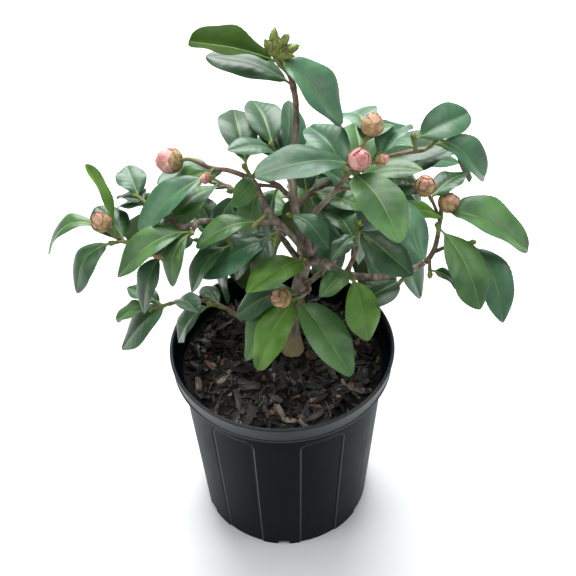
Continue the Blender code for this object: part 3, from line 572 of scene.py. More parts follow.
LINES = (
    Line("leader", "trunk", 1.0,
         ((18, 0, 436), (16, 5, 481), (20, 10, 541), (19, 12, 568), (15, 12, 588),
          (7, 12, 599), (2, 12, 609)),
         (4.5, 2.4), 34, 172,
         shown=((-24, -41, 86), (170, 13, 84), None, None, (164, 17, 84)),
         buds=(("spear", 4, 58), ("spear", 89, 60), ("spear", 8, 18), ("green", -14, 4), ("green", -90, 70),
               ("green", 180, 60))),
    Line("upper_left", "leader", 0.37, ((6, 12, 488), (-3, 15, 507)), (2.6, 1.6), 17, 17,
         shown=((104, 5, 80), (-151, 28, 59), (88, 21, 75, 55)), more=1),
    Line("left_high", "trunk", 1.0,
         ((9, -18, 430), (-8, -10, 447), (-17, 0, 465), (-24, 6, 476), (-46, 15, 482), (-63, 22, 480),
          (-84, 30, 486), (-96, 34, 482)),
         (3.7, 1.9), 34, 96, buds=(("full", 165, -10),),
         twigs=(Twig(0.16, (-29, 10, 486), shown=((99, 12, 87), (-113, 3, 47, -50)), more=1),
                Twig(0.6, (-66, 12, 478), shown=((-178, -29, 90), (-184, -36, 88)),
                     buds=(("small", -150, -15),)))),
    Line("left_over", "left_high", 0.42, ((-13, -21, 452), (-21, -29, 450)), (2.4, 1.8), 9, 9,
         shown=((170, -16, 64),)),
    Line("left_low", "left_high", 0.34,
         ((-33, -12, 438), (-76, -20, 448), (-95, -23, 441), (-125, -20, 424), (-157, -10, 417),
          (-172, -10, 436)),
         (3.1, 1.8), 10, 122,
         shown=((174, -25, 76), (124, 52, 76, 35)), buds=(("tan", 170, 70),),
         twigs=(Twig(0.5, (-164, -14, 419), shown=((-151, -40, 67), (127, 14, 54))),)),
    Line("left_mid", "left_low", 0.42, ((-85, -33, 444), (-100, -38, 432), (-115, -37, 422)),
         (2.4, 1.5), 9, 9,
         shown=((-133, -58, 66), (-184, -20, 48)), buds=(("small", 170, -20),),
         twigs=(Twig(0.1, (-84, -34, 446), shown=((-176, -28, 85), (-123, -46, 56))),)),
    Line("left_back", "left_low", 0.5, ((-115, -5, 446), (-138, 12, 455)), (2.6, 1.6), 8, 8,
         shown=((110, 14, 44), (158, -14, 50), (160, -22, 52)), more=3),
    Line("left_inner", "left_high", 0.3, ((0, -26, 436), (-3, -32, 431)), (2.6, 1.8), 10, 10,
         shown=((-170, -24, 84), (-160, -44, 66))),
    Line("left_under", "left_low", 0.3, ((-53, -24, 434), (-47, -31, 424)), (2.6, 1.6), 8, 8,
         shown=((-150, -39, 62), (172, -55, 58))),
    Line("low_left", "trunk", 0.19,
         ((-10, 6, 262), (-33, 3, 275), (-50, 0, 297), (-69, 0, 315), (-96, 3, 319), (-123, 5, 312),
          (-138, 5, 306)),
         (3.0, 1.7), 18, 70,
         shown=((176, -20, 50), (145, 4, 50), (-167, -41, 82), (-56, 25, 51)),
         twigs=(Twig(0.08, (-74, -8, 322), shown=((-174, -50, 66), (127, -12, 45))),)),
    Line("right_high", "trunk", 1.0, ((33, -15, 442), (54, -28, 485), (73, -40, 526)), (3.7, 2.0), 34, 112,
         shown=((-160, 10, 97), (-61, -15, 86), (122, 12, 74)), buds=(("pink", -60, 60),),
         twigs=(Twig(0.05, (110, -38, 484), shown=((-71, -20, 70),)),
                Twig(0.6, (86, -24, 548), shown=((103, -14, 70), (69, -5, 66)), buds=(("tan", 60, 60),)),
                Twig(0.7, (94, -30, 520), shown=((67, 2, 66),), buds=(("small", 20, 20),)))),
    Line("right_top", "trunk", 0.9,
         ((52, 22, 412), (85, 34, 448), (112, 40, 474), (150, 45, 478), (163, 50, 488)),
         (3.5, 1.8), 26, 130,
         shown=((-2, -42, 72, 25),), more=2,
         twigs=(Twig(0.6, (138, 46, 490), shown=((34, 3, 73, 30), (122, -26, 58))),)),
    Line("right_low", "trunk", 0.93,
         ((46, -25, 393), (61, -42, 394), (95, -42, 386), (137, -30, 386), (156, -22, 402), (163, -5, 447)),
         (4.9, 2.0), 26, 150,
         shown=((-15, -20, 97), (-155, 28, 62)), buds=(("tan", -20, 35),),
         twigs=(Twig(0.1, (151, -38, 388), shown=((-14, -36, 46),)),
                Twig(0.2, (194, -12, 402), shown=((-64, -38, 88),)),
                Twig(0.5, (157, -22, 433), shown=((-54, -48, 92),)),
                Twig(0.75, (143, -8, 470), shown=((-168, -20, 46), (40, 9, 51)), buds=(("tan", -90, 60),)))),
    Line("right_under", "right_low", 0.66, ((130, -28, 376), (123, -31, 368)), (2.4, 1.7), 9, 9,
         shown=((-142, 2, 62),)),
    Line("right_inner", "right_low", 0.3, ((66, -51, 402), (74, -47, 424), (76, -40, 450)), (2.8, 1.7), 9, 9,
         shown=((-51, -7, 74, 30), (-128, 3, 43), (117, 6, 59)), buds=(("green", -80, 60),),
         twigs=(Twig(0.1, (70, -58, 404), shown=((-60, -62, 72), (-130, 1, 46))),)),
    Line("front", "trunk", 0.78, ((30, -20, 352), (15, -50, 368)), (3.4, 1.8), 16, 16,
         shown=((-50, -30, 96), (-136, -42, 88), (-175, -23, 77), (-151, -38, 98)),
         twigs=(Twig(0.55, (6, -56, 376), buds=(("tan", -150, 20),)),)),
    Line("fork", "trunk", 0.95, ((23, -16, 386), (25, -25, 397)), (2.8, 1.9), 17, 17, shown=((-143, 9, 80),)),
    Line("centre", "leader", 0.22, ((16, -8, 440), (12, -14, 447)), (2.6, 1.8), 10, 10,
         shown=((-50, -9, 56),)),
    Line("back_left", "trunk", 0.85, ((5, 30, 378), (-30, 70, 398), (-70, 105, 404), (-95, 128, 396)),
         (3.6, 1.8), 18, 92, more=5,
         twigs=(Twig(0.2, (-62, 122, 384), more=5), Twig(0.4, (-100, 84, 398), more=4))),
    Line("back_right", "trunk", 0.88, ((48, 32, 385), (78, 72, 404), (108, 106, 410), (128, 132, 402)),
         (3.6, 1.8), 18, 96, more=5,
         twigs=(Twig(0.2, (92, 128, 392), more=5), Twig(0.4, (144, 92, 404), more=4))),
    Line("back", "trunk", 0.7, ((22, 42, 352), (18, 88, 368), (14, 132, 368)), (3.3, 1.7), 16, 74, more=5,
         twigs=(Twig(0.2, (-14, 112, 362), more=4), Twig(0.3, (44, 116, 358), more=4))),
    Line("back_low_left", "trunk", 0.5, ((-12, 36, 318), (-56, 74, 330), (-92, 98, 322)), (3.2, 1.7), 16, 80,
         more=4, twigs=(Twig(0.2, (-54, 98, 318), more=3),)),
    Line("back_low_right", "trunk", 0.6, ((52, 36, 330), (92, 72, 342), (124, 92, 334)), (3.2, 1.7), 16, 80,
         more=4, twigs=(Twig(0.2, (90, 98, 326), more=3),)),
    Line("back_high", "leader", 0.42, ((20, 26, 486), (24, 52, 478)), (2.8, 1.7), 10, 10, more=5),
    Line("centre_left", "leader", 0.3, ((-2, 18, 462), (-20, 30, 462), (-34, 42, 456)), (2.8, 1.7), 10, 10,
         more=5, twigs=(Twig(0.2, (-44, 22, 452), more=3),)),
    Line("centre_right", "leader", 0.27, ((36, 18, 450), (54, 30, 454), (70, 46, 450)), (2.8, 1.7), 10, 10,
         more=5, twigs=(Twig(0.2, (76, 24, 446), more=3),)),
)


def heading(bearing, rise):
    """Unit direction at a bearing from +X towards +Y and a rise above level, both in degrees."""
    turn, lift = math.radians(bearing), math.radians(rise)
    return Vector((math.cos(turn) * math.cos(lift), math.sin(turn) * math.cos(lift), math.sin(lift)))


def curve_point(before, start, end, after, t):
    """The point at share t of the way from start to end, on a smooth curve through all four points."""
    return 0.5 * (2 * start + (end - before) * t
                  + (2 * before - 5 * start + 4 * end - after) * t ** 2
                  + (3 * start - before - 3 * end + after) * t ** 3)


def smooth(points):
    """Points about STEP apart along one smooth curve through the given points."""
    knots = [Vector(point) for point in points]
    padded = [knots[0] * 2 - knots[1], *knots, knots[-1] * 2 - knots[-2]]
    curve = []
    for before, start, end, after in zip(padded, padded[1:], padded[2:], padded[3:]):
        count = max(1, round((end - start).length / STEP))
        curve += [curve_point(before, start, end, after, index / count) for index in range(count)]
    return curve + [knots[-1]]


def distances(points):
    """How far along the line each of its points lies."""
    along = [0.0]
    for start, end in zip(points, points[1:]):
        along.append(along[-1] + (end - start).length)
    return along


def place_at(points, distance):
    """The point at a distance along a line of points, and the line's direction there."""
    walked = 0.0
    for start, end in zip(points, points[1:]):
        span = (end - start).length
        if distance <= walked + span or end is points[-1]:
            direction = (end - start).normalized()
            return start + direction * (distance - walked), direction
        walked += span


def stretch(points, start, end):
    """The part of a line between two distances, with a short straight run at each end for a square cap."""
    first, leaving = place_at(points, start)
    last, arriving = place_at(points, end)
    inner = [point for point, far in zip(points, distances(points))
             if start + 2 * SQUARE_END < far < end - 2 * SQUARE_END]
    return [first, first + leaving * SQUARE_END, *inner, last - arriving * SQUARE_END, last]


def tapered(points, whole, radii, start=0.0):
    """Radii at the points of a stretch that starts at a distance along a limb of a whole length."""
    return [radii[0] + (radii[1] - radii[0]) * min(1.0, (start + far) / whole) for far in distances(points)]


def ring_faces(rows, count):
    """Faces of the bands between rings of equal count."""
    faces = []
    for row in range(rows - 1):
        low, high = row * count, (row + 1) * count
        for side in range(count):
            after = (side + 1) % count
            faces.append((low + side, low + after, high + after, high + side))
    return faces


def loft(rings, cap_point=None):
    """Vertices and faces of a closed skin over rings of equal count, ending in a flat cap or a point."""
    count = len(rings[0])
    top = (len(rings) - 1) * count
    verts = [point for ring in rings for point in ring]
    faces = [tuple(reversed(range(count))), *ring_faces(len(rings), count)]
    if cap_point is None:
        faces.append(tuple(range(top, top + count)))
    else:
        verts.append(cap_point)
        faces += [(top + side, top + (side + 1) % count, len(verts) - 1) for side in range(count)]
    return verts, faces


def tube_skin(points, radii):
    """A plain round skin along a line, for clearances."""
    rings = []
    for index, (point, radius) in enumerate(zip(points, radii)):
        direction = (points[min(index + 1, len(points) - 1)] - points[max(index - 1, 0)]).normalized()
        across = direction.orthogonal().normalized()
        over = direction.cross(across)
        turns = [2 * math.pi * side / LIMB_SIDES for side in range(LIMB_SIDES)]
        rings.append([point + (across * math.cos(turn) + over * math.sin(turn)) * radius for turn in turns])
    return loft(rings)


def half_width(leaf, share):
    """Half the width of a leaf at a share of its length."""
    if share <= STALK_END:
        return STALK_HALF_WIDTH
    blade = (share - STALK_END) / (1 - STALK_END)
    return STALK_HALF_WIDTH * (1 - blade) + leaf.width / 2 * math.sin(math.pi * blade) ** LEAF_FULLNESS


def leaf_skin(leaf, margin=0.0, first=0):
    """The skin of a leaf as a loft of flat diamonds, from a station on, grown by a margin."""
    side = leaf.face.cross(leaf.along)
    rings = []
    for share in LEAF_STATIONS[first:]:
        middle = leaf.root + leaf.along * leaf.length * share
        middle += leaf.face * leaf.length * LEAF_ARCH * math.sin(math.pi * share ** ARCH_LEAN)
        half = half_width(leaf, share) + margin
        thickness = STALK_THICKNESS if share <= STALK_END else LEAF_THICKNESS
        rise = leaf.face * (half * LEAF_FOLD if share > STALK_END else 0.0)
        thick = leaf.face * (thickness / 2 + margin)
        rings.append([middle - side * half + rise, middle - thick,
                      middle + side * half + rise, middle + thick])
    tip = leaf.root + leaf.along * (leaf.length + margin)
    return loft(rings, tip)


def bud_solid(bud):
    """A bud as a sphere drawn out along its axis and narrowed towards its tip."""
    radius, length = BUDS[bud.kind]
    solid = bmesh.new()
    bmesh.ops.create_uvsphere(solid, u_segments=BUD_SIDES, v_segments=BUD_LEVELS, radius=1.0)
    turn = UP.rotation_difference(bud.axis).to_matrix()
    for vert in solid.verts:
        level = vert.co.z
        narrow = 1 - BUD_NARROWING * max(0.0, level)
        local = Vector((vert.co.x * radius * narrow, vert.co.y * radius * narrow, (level + 1) * length / 2))
        vert.co = bud.root + turn @ (local - Vector((0, 0, BUD_ROOT)))
    return solid


class Plan:
    """The plant as limbs, twigs, leaves and buds, each with the name of the node that holds it."""

    def __init__(self):
        self.limbs = {}
        self.tubes = {}
        self.leaves = {}
        self.buds = {}
        self.skins = []
        self.lines = {}
        self.waiting = []
        self.rng = random.Random(SEED)
        self.lay_limbs()
        self.lay_masses()
        for node, tip, shown, more, has_flower in self.waiting:
            self.lay_shown(node, tip, shown, has_flower)
        for line in (SKYLINE, *GAPS):
            self.hang_curtain(line)
        for node, tip, shown, more, has_flower in self.waiting:
            self.lay_more(node, tip, len(shown), more, has_flower)

    def keep(self, node, skin):
        """Remembers a skin as an obstacle, with the node that owns it."""
        self.skins.append((node, BVHTree.FromPolygons(*skin)))

    def hang_curtain(self, line):
        """Keeps a skin along a line of the outline, in line with the camera, as an obstacle to leaves."""
        ends = [EYE + (Vector((x, 0, z)) - EYE) * reach for reach in CURTAIN_REACH for x, z in line]
        count = len(line)
        faces = [(index, index + 1, count + index + 1, count + index) for index in range(count - 1)]
        self.keep("curtain", (ends, faces))

    def add_tube(self, store, node, points, radii):
        """Stores a tube of a node, and keeps its skin as an obstacle."""
        store.setdefault(node, []).append((points, radii))
        self.keep(node, tube_skin(points, radii))

    def lay_limbs(self):
        """Lays the trunk, its fork and the boughs."""
        trunk = smooth(TRUNK.via)
        reach = distances(trunk)
        radii = [width + FLARE * math.exp(-far / FLARE_HEIGHT)
                 for width, far in zip(tapered(trunk, reach[-1], TRUNK.radii), reach)]
        self.lines["trunk"] = trunk
        self.add_tube(self.limbs, "trunk", trunk, radii)
        for line in LINES:
            parent = self.lines[line.parent]
            start, _ = place_at(parent, distances(parent)[-1] * line.at)
            points = smooth([start, *line.via])
            whole = distances(points)[-1]
            self.lines[line.name] = points
            stub = stretch(points, 0, line.stub)
            holder = "trunk" if line.parent == "trunk" else "bough_" + line.parent
            self.add_tube(self.limbs, holder, stub, tapered(stub, whole, line.radii))
            if line.bough > line.stub:
                bough = stretch(points, line.stub + GAP, line.bough)
                self.add_tube(self.limbs, "bough_" + line.name, bough,
                              tapered(bough, whole, line.radii, line.stub + GAP))

    def lay_masses(self):
        """Lays the stem, side twigs and buds of each mass, and notes the leaves to come."""
        for line in LINES:
            node = FOLIAGE + line.name
            points = self.lines[line.name]
            whole = distances(points)[-1]
            begin = line.bough + GAP
            stem = stretch(points, begin, whole)
            self.add_tube(self.tubes, node, stem, tapered(stem, whole, line.radii, begin))
            self.lay_buds(node, stem, line.buds)
            self.note(node, stem, line)
            for twig in line.twigs:
                far = (whole - begin) * twig.at
                start, _ = place_at(stem, far)
                end = Vector(twig.end)
                bow = start.lerp(end, 0.5) + UP * (end - start).length * TWIG_BOW
                side = smooth([start, bow, end])
                radius = tapered(stem, whole, line.radii, begin + far)[0] * TWIG_START
                thin = tapered(side, distances(side)[-1], (radius, TWIG_TIP_RADIUS))
                self.add_tube(self.tubes, node, side, thin)
                self.lay_buds(node, side, twig.buds)
                self.note(node, side, twig)

    def note(self, node, tip, bearer):
        """Notes the leaves that a stem or twig waits for, and whether a flower bud takes room at its tip."""
        has_flower = any(BUDS[kind][0] > BUDS["small"][0] for kind, _, _ in bearer.buds)
        self.waiting.append((node, tip, bearer.shown, bearer.more, has_flower))

    def lay_buds(self, node, points, buds):
        """Sets buds on the tip of a stem or twig."""
        for kind, bearing, rise in buds:
            bud = Bud(points[-1], heading(bearing, rise), kind)
            self.buds.setdefault(node, []).append(bud)
            self.skins.append((node, BVHTree.FromBMesh(bud_solid(bud))))

    def root_of(self, points, index, has_flower):
        """Where leaf number index is rooted: leaves follow each other back from the tip."""
        whole = distances(points)[-1]
        back = FIRST_LEAF + index * LEAF_SPACING + (BUD_ROOM if has_flower else 0.0)
        return place_at(points, max(whole - back, whole * LAST_LEAF))[0]

    def is_clear(self, node, leaf):
        """Whether a leaf clears all that other nodes hold, and its blade all that its own node holds."""
        whole = BVHTree.FromPolygons(*leaf_skin(leaf, LEAF_MARGIN))
        blade = BVHTree.FromPolygons(*leaf_skin(leaf, LEAF_MARGIN, BLADE_START))
        for owner, skin in self.skins:
            if skin.overlap(blade if owner == node else whole):
                return False
        return True

    def try_leaf(self, node, root, bearing, rise, length, roll=0.0):
        """Adds a leaf, turned or shortened a little where it would touch something, or skips it."""
        slim = LEAF_WIDTH + self.rng.uniform(-WIDTH_CHANGE, WIDTH_CHANGE)
        for share, (turn, lift) in itertools.product(SHORTENED, NUDGES):
            along = heading(bearing + turn, rise + lift)
            face = (UP - along * UP.dot(along)).normalized()
            face = Matrix.Rotation(math.radians(roll), 3, along) @ face
            leaf = Leaf(root, along, face, length * share, length * share * slim)
            if self.is_clear(node, leaf):
                self.leaves.setdefault(node, []).append(leaf)
                self.keep(node, leaf_skin(leaf))
                return

    def lay_shown(self, node, points, shown, has_flower):
        """Leaves that the photo shows, back from the tip of a stem or twig."""
        for index, leaf in enumerate(shown):
            if leaf:
                self.try_leaf(node, self.root_of(points, index, has_flower), *leaf)

    def lay_more(self, node, points, used, more, has_flower):
        """Leaves by rule: each turned on from the last by the golden angle, spread and drooping."""
        _, tip = place_at(points, distances(points)[-1])
        across = tip.orthogonal().normalized()
        over = tip.cross(across)
        offset = self.rng.uniform(0, 360)
        for index in range(used, used + more):
            turn = math.radians(offset + GOLDEN_ANGLE * index)
            spread = math.radians(SPREAD_ANGLE)
            aside = across * math.cos(turn) + over * math.sin(turn)
            way = tip * math.cos(spread) + aside * math.sin(spread)
            way.z -= LEAF_DROOP
            way.normalize()
            bearing = math.degrees(math.atan2(way.y, way.x))
            rise = math.degrees(math.asin(way.z))
            root = self.root_of(points, index, has_flower)
            self.try_leaf(node, root, bearing, rise, self.rng.uniform(*LEAF_LENGTHS))


def smoothstep(low, high, value):
    """0 below low, 1 above high, and a soft rise between them; works on numbers and arrays."""
    share = np.clip((value - low) / (high - low), 0, 1)
    return share * share * (3 - 2 * share)


class Value:
    """A socket that stands for a number, so that sums on it read as plain expressions."""

    def __init__(self, finish, socket):
        self.finish = finish
        self.socket = socket

    def maths(self, operation, *terms):
        """The socket of a Math node on terms that are values or numbers."""
        return self.finish.add("ShaderNodeMath", {"operation": operation}, dict(enumerate(terms)))

    def __add__(self, other):
        return self.maths("ADD", self, other)

    def __sub__(self, other):
        return self.maths("SUBTRACT", self, other)

    def __rsub__(self, other):
        return self.maths("SUBTRACT", other, self)

    def __mul__(self, other):
        return self.maths("MULTIPLY", self, other)

    __radd__ = __add__
    __rmul__ = __mul__


class Finish:
    """A procedural material being made."""

    def __init__(self, name, **surface):
        self.material = bpy.data.materials.new(name)
        self.material.use_nodes = True
        self.nodes = self.material.node_tree.nodes
        self.links = self.material.node_tree.links
        self.shader = self.nodes["Principled BSDF"]
        for socket, value in surface.items():
            self.set(self.shader, socket.replace("_", " "), value)

    def set(self, node, socket, value):
        """Gives a socket a link, a colour or a number."""
        target = node.inputs[socket]
        if isinstance(value, Value):
            self.links.new(value.socket, target)
        elif isinstance(value, tuple) and len(value) == 3 and target.type == "RGBA":
            target.default_value = (*value, 1)
        else:
            target.default_value = value

    def add(self, kind, settings, sockets, output=0):
        """Adds a node: its settings first, then the values or links of its sockets."""
        node = self.nodes.new(kind)
        for setting, value in settings.items():
            if setting == "stops":
                self.set_stops(node.color_ramp, value)
            else:
                setattr(node, setting, value)
        for socket, value in sockets.items():
            self.set(node, socket, value)
        return Value(self, node.outputs[output])

    def set_stops(self, ramp, stops):
        """Gives a colour ramp its stops, each a position and a colour."""
        stops = list(stops)
        while len(ramp.elements) < len(stops):
            ramp.elements.new(0.5)
        for element, (position, colour) in zip(ramp.elements, stops):
            element.position = position
            element.color = (*colour, 1)

    def place(self):
        """Where a point of the piece is, in metres."""
        return self.add("ShaderNodeTexCoord", {}, {}, "Object")

    def stretched(self, scale):
        """The place of a point with each axis scaled, for grain that runs one way."""
        return self.add("ShaderNodeMapping", {}, {"Vector": self.place(), "Scale": scale})

    def height(self):
        """How high a point of the piece is, in metres."""
        return self.add("ShaderNodeSeparateXYZ", {}, {"Vector": self.place()}, "Z")

    def noise(self, scale, detail, where=None):
        """Soft noise of a scale and a detail, from 0 to 1."""
        sockets = {"Vector": where or self.place(), "Scale": scale, "Detail": detail}
        return self.add("ShaderNodeTexNoise", {}, sockets, "Fac")

    def ramp(self, factor, stops):
        """A colour between stops, picked by a factor."""
        return self.add("ShaderNodeValToRGB", {"stops": stops}, {"Fac": factor}, "Color")

    def mix(self, factor, first, second):
        """A colour between two colours."""
        sockets = dict(zip(MIX_INPUTS, (factor, first, second)))
        return self.add("ShaderNodeMix", {"data_type": "RGBA"}, sockets, MIX_OUTPUT)

    def bump(self, height, depth):
        """Relief of a depth in millimetres."""
        sockets = {"Height": height, "Distance": depth * MM, "Strength": 1.0}
        self.set(self.shader, "Normal", self.add("ShaderNodeBump", {}, sockets, "Normal"))

    def dress(self, colour, roughness):
        """Gives the surface its colour and its roughness."""
        self.set(self.shader, "Base Color", colour)
        self.set(self.shader, "Roughness", roughness)


def as_piece(obj):
    """Makes an object part of the plant: it rides on the root."""
    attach(obj, "root")
    return obj


def object_of(name, data):
    """An object in the scene that shows a mesh, a lamp or a camera."""
    obj = bpy.data.objects.new(name, data)
    bpy.context.scene.collection.objects.link(obj)
    return obj


def mesh_of(name, verts, faces, finishes, face_finish=None, crease=CREASE):
    """A smooth mesh from points in millimetres, with creases over an angle."""
    mesh = bpy.data.meshes.new(name)
    mesh.from_pydata(np.asarray(verts) * MM, [], faces)
    for finish in finishes:
        mesh.materials.append(finish)
    if face_finish is not None:
        mesh.polygons.foreach_set("material_index", np.asarray(face_finish, np.int32))
    mesh.polygons.foreach_set("use_smooth", np.ones(len(mesh.polygons), bool))
    mesh.set_sharp_from_angle(angle=math.radians(crease))
    return mesh


class Pile:
    """Many small shapes gathered into one mesh."""

    def __init__(self):
        self.verts = []
        self.faces = []
        self.finish = []
        self.count = 0

    def add(self, verts, faces, finish=None):
        """Adds a shape, with the number of the finish of each of its faces."""
        self.verts.append(np.asarray(verts, float))
        self.faces += [tuple(corner + self.count for corner in face) for face in faces]
        self.finish += [0] * len(faces) if finish is None else list(finish)
        self.count += len(verts)

    def mesh(self, name, finishes, crease=CREASE):
        """The gathered shapes as one mesh."""
        return mesh_of(name, np.concatenate(self.verts), self.faces, finishes, self.finish, crease)

    def piece(self, name, slot, finishes, crease):
        """The gathered shapes as one piece of the plant."""
        return as_piece(object_of(name, self.mesh(name, finishes, crease)))


@dataclass
class Habit:
    """How one fine leaf differs from the next: its arch, fold, roll, waves, twist, droop and outline."""
    arch: float
    fold: float
    roll: float
    wave: float
    phase: float
    twist: float
    bend: float
    droop: float
    slim: float
    full: float
    shift: float
    point: float


def habit_of(rng, rare):
    """A leaf's habit by chance, apart from what is rare about it."""
    common = {name: rng.uniform(*span) for name, span in HABIT_SPANS.items()}
    return Habit(**{**common, **rare})


def leaf_columns():
    """For each point of a leaf's cross-section: its side, its share from midrib to margin, and its face."""
    left = [(-1, share) for share in reversed(COLUMN_SHARES)]
    right = [(1, share) for share in COLUMN_SHARES]
    upper = [(*column, 1) for column in left + right]
    lower = [(*column, -1) for column in (left + right)[-2:0:-1]]
    return np.array(upper + lower, float).T


def leaf_faces():
    """Faces of a fine leaf, with 0 for the upper face, 1 for midrib and stalk, and 2 for underneath."""
    ring = 4 * len(COLUMN_SHARES) - 2
    upper = 2 * len(COLUMN_SHARES) - 1
    middles = (len(COLUMN_SHARES) - 1, upper + len(COLUMN_SHARES) - 1)
    stalk_rows = round(LEAF_ROWS * STALK_END)
    last = (LEAF_ROWS - 1) * ring
    faces = [tuple(reversed(range(ring))), *ring_faces(LEAF_ROWS, ring)]
    faces += [(last + column, last + (column + 1) % ring, LEAF_ROWS * ring) for column in range(ring)]
    finish = [1]
    for row, column in itertools.product(range(LEAF_ROWS - 1), range(ring)):
        blade = 0 if column < upper else 2
        finish.append(1 if column in middles or row < stalk_rows else blade)
    finish += [0] * ring
    return faces, finish


def fine_half_width(width, habit, share):
    """Half the width of a fine leaf: fullest where its habit puts it, and drawn out to a point."""
    blade = np.clip((share - STALK_END) / (1 - STALK_END), 0, 1)
    bow = np.sin(math.pi * blade ** habit.shift) ** habit.full
    full = STALK_RADIUS * (1 - blade) + width * habit.slim / 2 * bow
    full = np.where(share <= STALK_END, STALK_RADIUS, full)
    return full * (1 - habit.point * smoothstep(*POINT_SPAN, share))


def leaf_relief(habit, rows, along, share, side, half, off, blade):
    """Heights over a fine leaf's blade: its fold, the swelling between its side veins, and its waves."""
    height = blade * (habit.fold * off - habit.roll * off ** 2 / np.maximum(half, LEAST_HALF))
    phase = 2 * math.pi * rows * LEAF_ROWS / ROWS_A_VEIN
    swell = np.sin(math.pi * np.clip(share, 0, 1)) ** PILLOW_ROUND
    pillow = VEIN_PILLOW * (0.5 - 0.5 * np.cos(phase)) * swell
    height = height + blade * pillow * smoothstep(*PILLOW_WIDTHS, half)
    ripple = np.sin(2 * math.pi * (RIPPLES * along) + habit.phase + side * RIPPLE_OFFSET)
    return height + blade * habit.wave * ripple * share ** 2


def leaf_thickness(along, share, face, half, off, blade, middle):
    """Half the thickness over a fine leaf: a round stalk, then a thin blade with a grooved midrib."""
    thin = BLADE_HALF_THICKNESS * np.sqrt(np.clip(1 - share ** EDGE_THINNING, 0, 1))
    stalk = STALK_RADIUS * np.sqrt(np.clip(1 - (off / np.maximum(half, LEAST_STALK)) ** 2, 0, 1))
    thick = stalk * (1 - blade) + thin * blade
    return thick + middle * blade * np.where(face > 0, -MIDRIB_GROOVE, MIDRIB_RIDGE * (RIDGE_END - along))


def fine_leaf(leaf, habit):
    """Points of a fine leaf: rings around its blade from stalk to tip, and then the tip itself."""
    side, share, face = leaf_columns()
    middle, margin = share == COLUMN_SHARES[0], share == COLUMN_SHARES[-1]
    rows = (np.arange(LEAF_ROWS) / LEAF_ROWS)[:, None]
    along = rows + VEIN_SLANT * np.sin(math.pi * rows) * share
    half = fine_half_width(leaf.width, habit, along)
    tooth = np.where(np.arange(LEAF_ROWS) % 2, TOOTH, -TOOTH)[:, None]
    half = half + tooth * margin * smoothstep(*TOOTH_SPAN, rows)
    blade = smoothstep(*BLADE_SPAN, along)
    rib = MIDRIB_HALF_WIDTH[0] + (MIDRIB_HALF_WIDTH[1] - MIDRIB_HALF_WIDTH[0]) * along
    rib = np.minimum(rib, half * MIDRIB_SHARE)
    off = rib + (half - rib) * share
    height = leaf_relief(habit, rows, along, share, side, half, off, blade)
    thick = leaf_thickness(along, share, face, half, off, blade, middle)
    height = height + face * thick * ~margin
    across = side * off
    turn = habit.twist * smoothstep(*TWIST_SPAN, along)
    across, height = (across * np.cos(turn) - height * np.sin(turn),
                      across * np.sin(turn) + height * np.cos(turn))
    size = leaf.length
    across = across + habit.bend * size * np.sin(math.pi * along)
    arch = LEAF_ARCH * habit.arch * np.sin(math.pi * np.clip(along, 0, 1) ** ARCH_LEAN)
    droop = habit.droop * smoothstep(*DROOP_SPAN, along)
    height = height + size * (arch - droop)
    sideways = np.array(leaf.along.cross(leaf.face))
    root, forward, up = (np.array(vector) for vector in (leaf.root, leaf.along, leaf.face))
    rings = root + forward * (along * size)[..., None] + sideways * across[..., None]
    rings = rings + up * height[..., None]
    tip = root + forward * size - up * size * habit.droop
    return np.concatenate([rings.reshape(-1, 3), tip[None]])


def resampled(points, radii, spacing):
    """A smooth line through points, with its radii, at an even spacing."""
    knots = np.array([tuple(point) for point in points])
    padded = np.concatenate([2 * knots[:1] - knots[1:2], knots, 2 * knots[-1:] - knots[-2:-1]])
    line, width = [], []
    for index in range(len(knots) - 1):
        before, start, end, after = padded[index:index + 4]
        count = max(1, round(np.linalg.norm(end - start) / spacing))
        t = (np.arange(count) / count)[:, None]
        line.append(curve_point(before, start, end, after, t))
        width.append(radii[index] + (radii[index + 1] - radii[index]) * t[:, 0])
    return np.concatenate([*line, knots[-1:]]), np.concatenate([*width, [radii[-1]]])


def carried_frames(line):
    """Two directions across a line at each of its points, carried along it without twist."""
    ways = np.gradient(line, axis=0)
    ways /= np.linalg.norm(ways, axis=1, keepdims=True)
    across = np.array(Vector(ways[0]).orthogonal().normalized())
    frames = []
    for way in ways:
        across = across - way * across.dot(way)
        across /= np.linalg.norm(across)
        frames.append((across, np.cross(way, across)))
    firsts, seconds = zip(*frames)
    return ways, np.array(firsts), np.array(seconds)


def tube_of(line, width, sides):
    """Points and faces of a closed round tube, with its ends drawn to a point."""
    _, first, second = carried_frames(line)
    turns = np.arange(sides) * 2 * math.pi / sides
    rings = line[:, None] + width[:, None, None] * (
        first[:, None] * np.cos(turns)[None, :, None] + second[:, None] * np.sin(turns)[None, :, None])
    foot, top = len(line) * sides, len(line) * sides + 1
    high = (len(line) - 1) * sides
    faces = ring_faces(len(line), sides)
    faces += [((side + 1) % sides, side, foot) for side in range(sides)]
    faces += [(high + side, high + (side + 1) % sides, top) for side in range(sides)]
    return np.concatenate([rings.reshape(-1, 3), line[:1], line[-1:]]), faces


def modify(obj, kind, **settings):
    """Adds a modifier to an object, with its settings."""
    modifier = obj.modifiers.new(kind.title(), kind)
    for setting, value in settings.items():
        setattr(modifier, setting, value)


def settled_mesh(rough):
    """The mesh of a rough object as its modifiers leave it, and the rough object goes."""
    graph = bpy.context.evaluated_depsgraph_get()
    mesh = bpy.data.meshes.new_from_object(rough.evaluated_get(graph))
    bpy.data.objects.remove(rough)
    return mesh


def distances_of(line):
    """How far along a fine line each of its points lies."""
    return distances([Vector(point) for point in line])


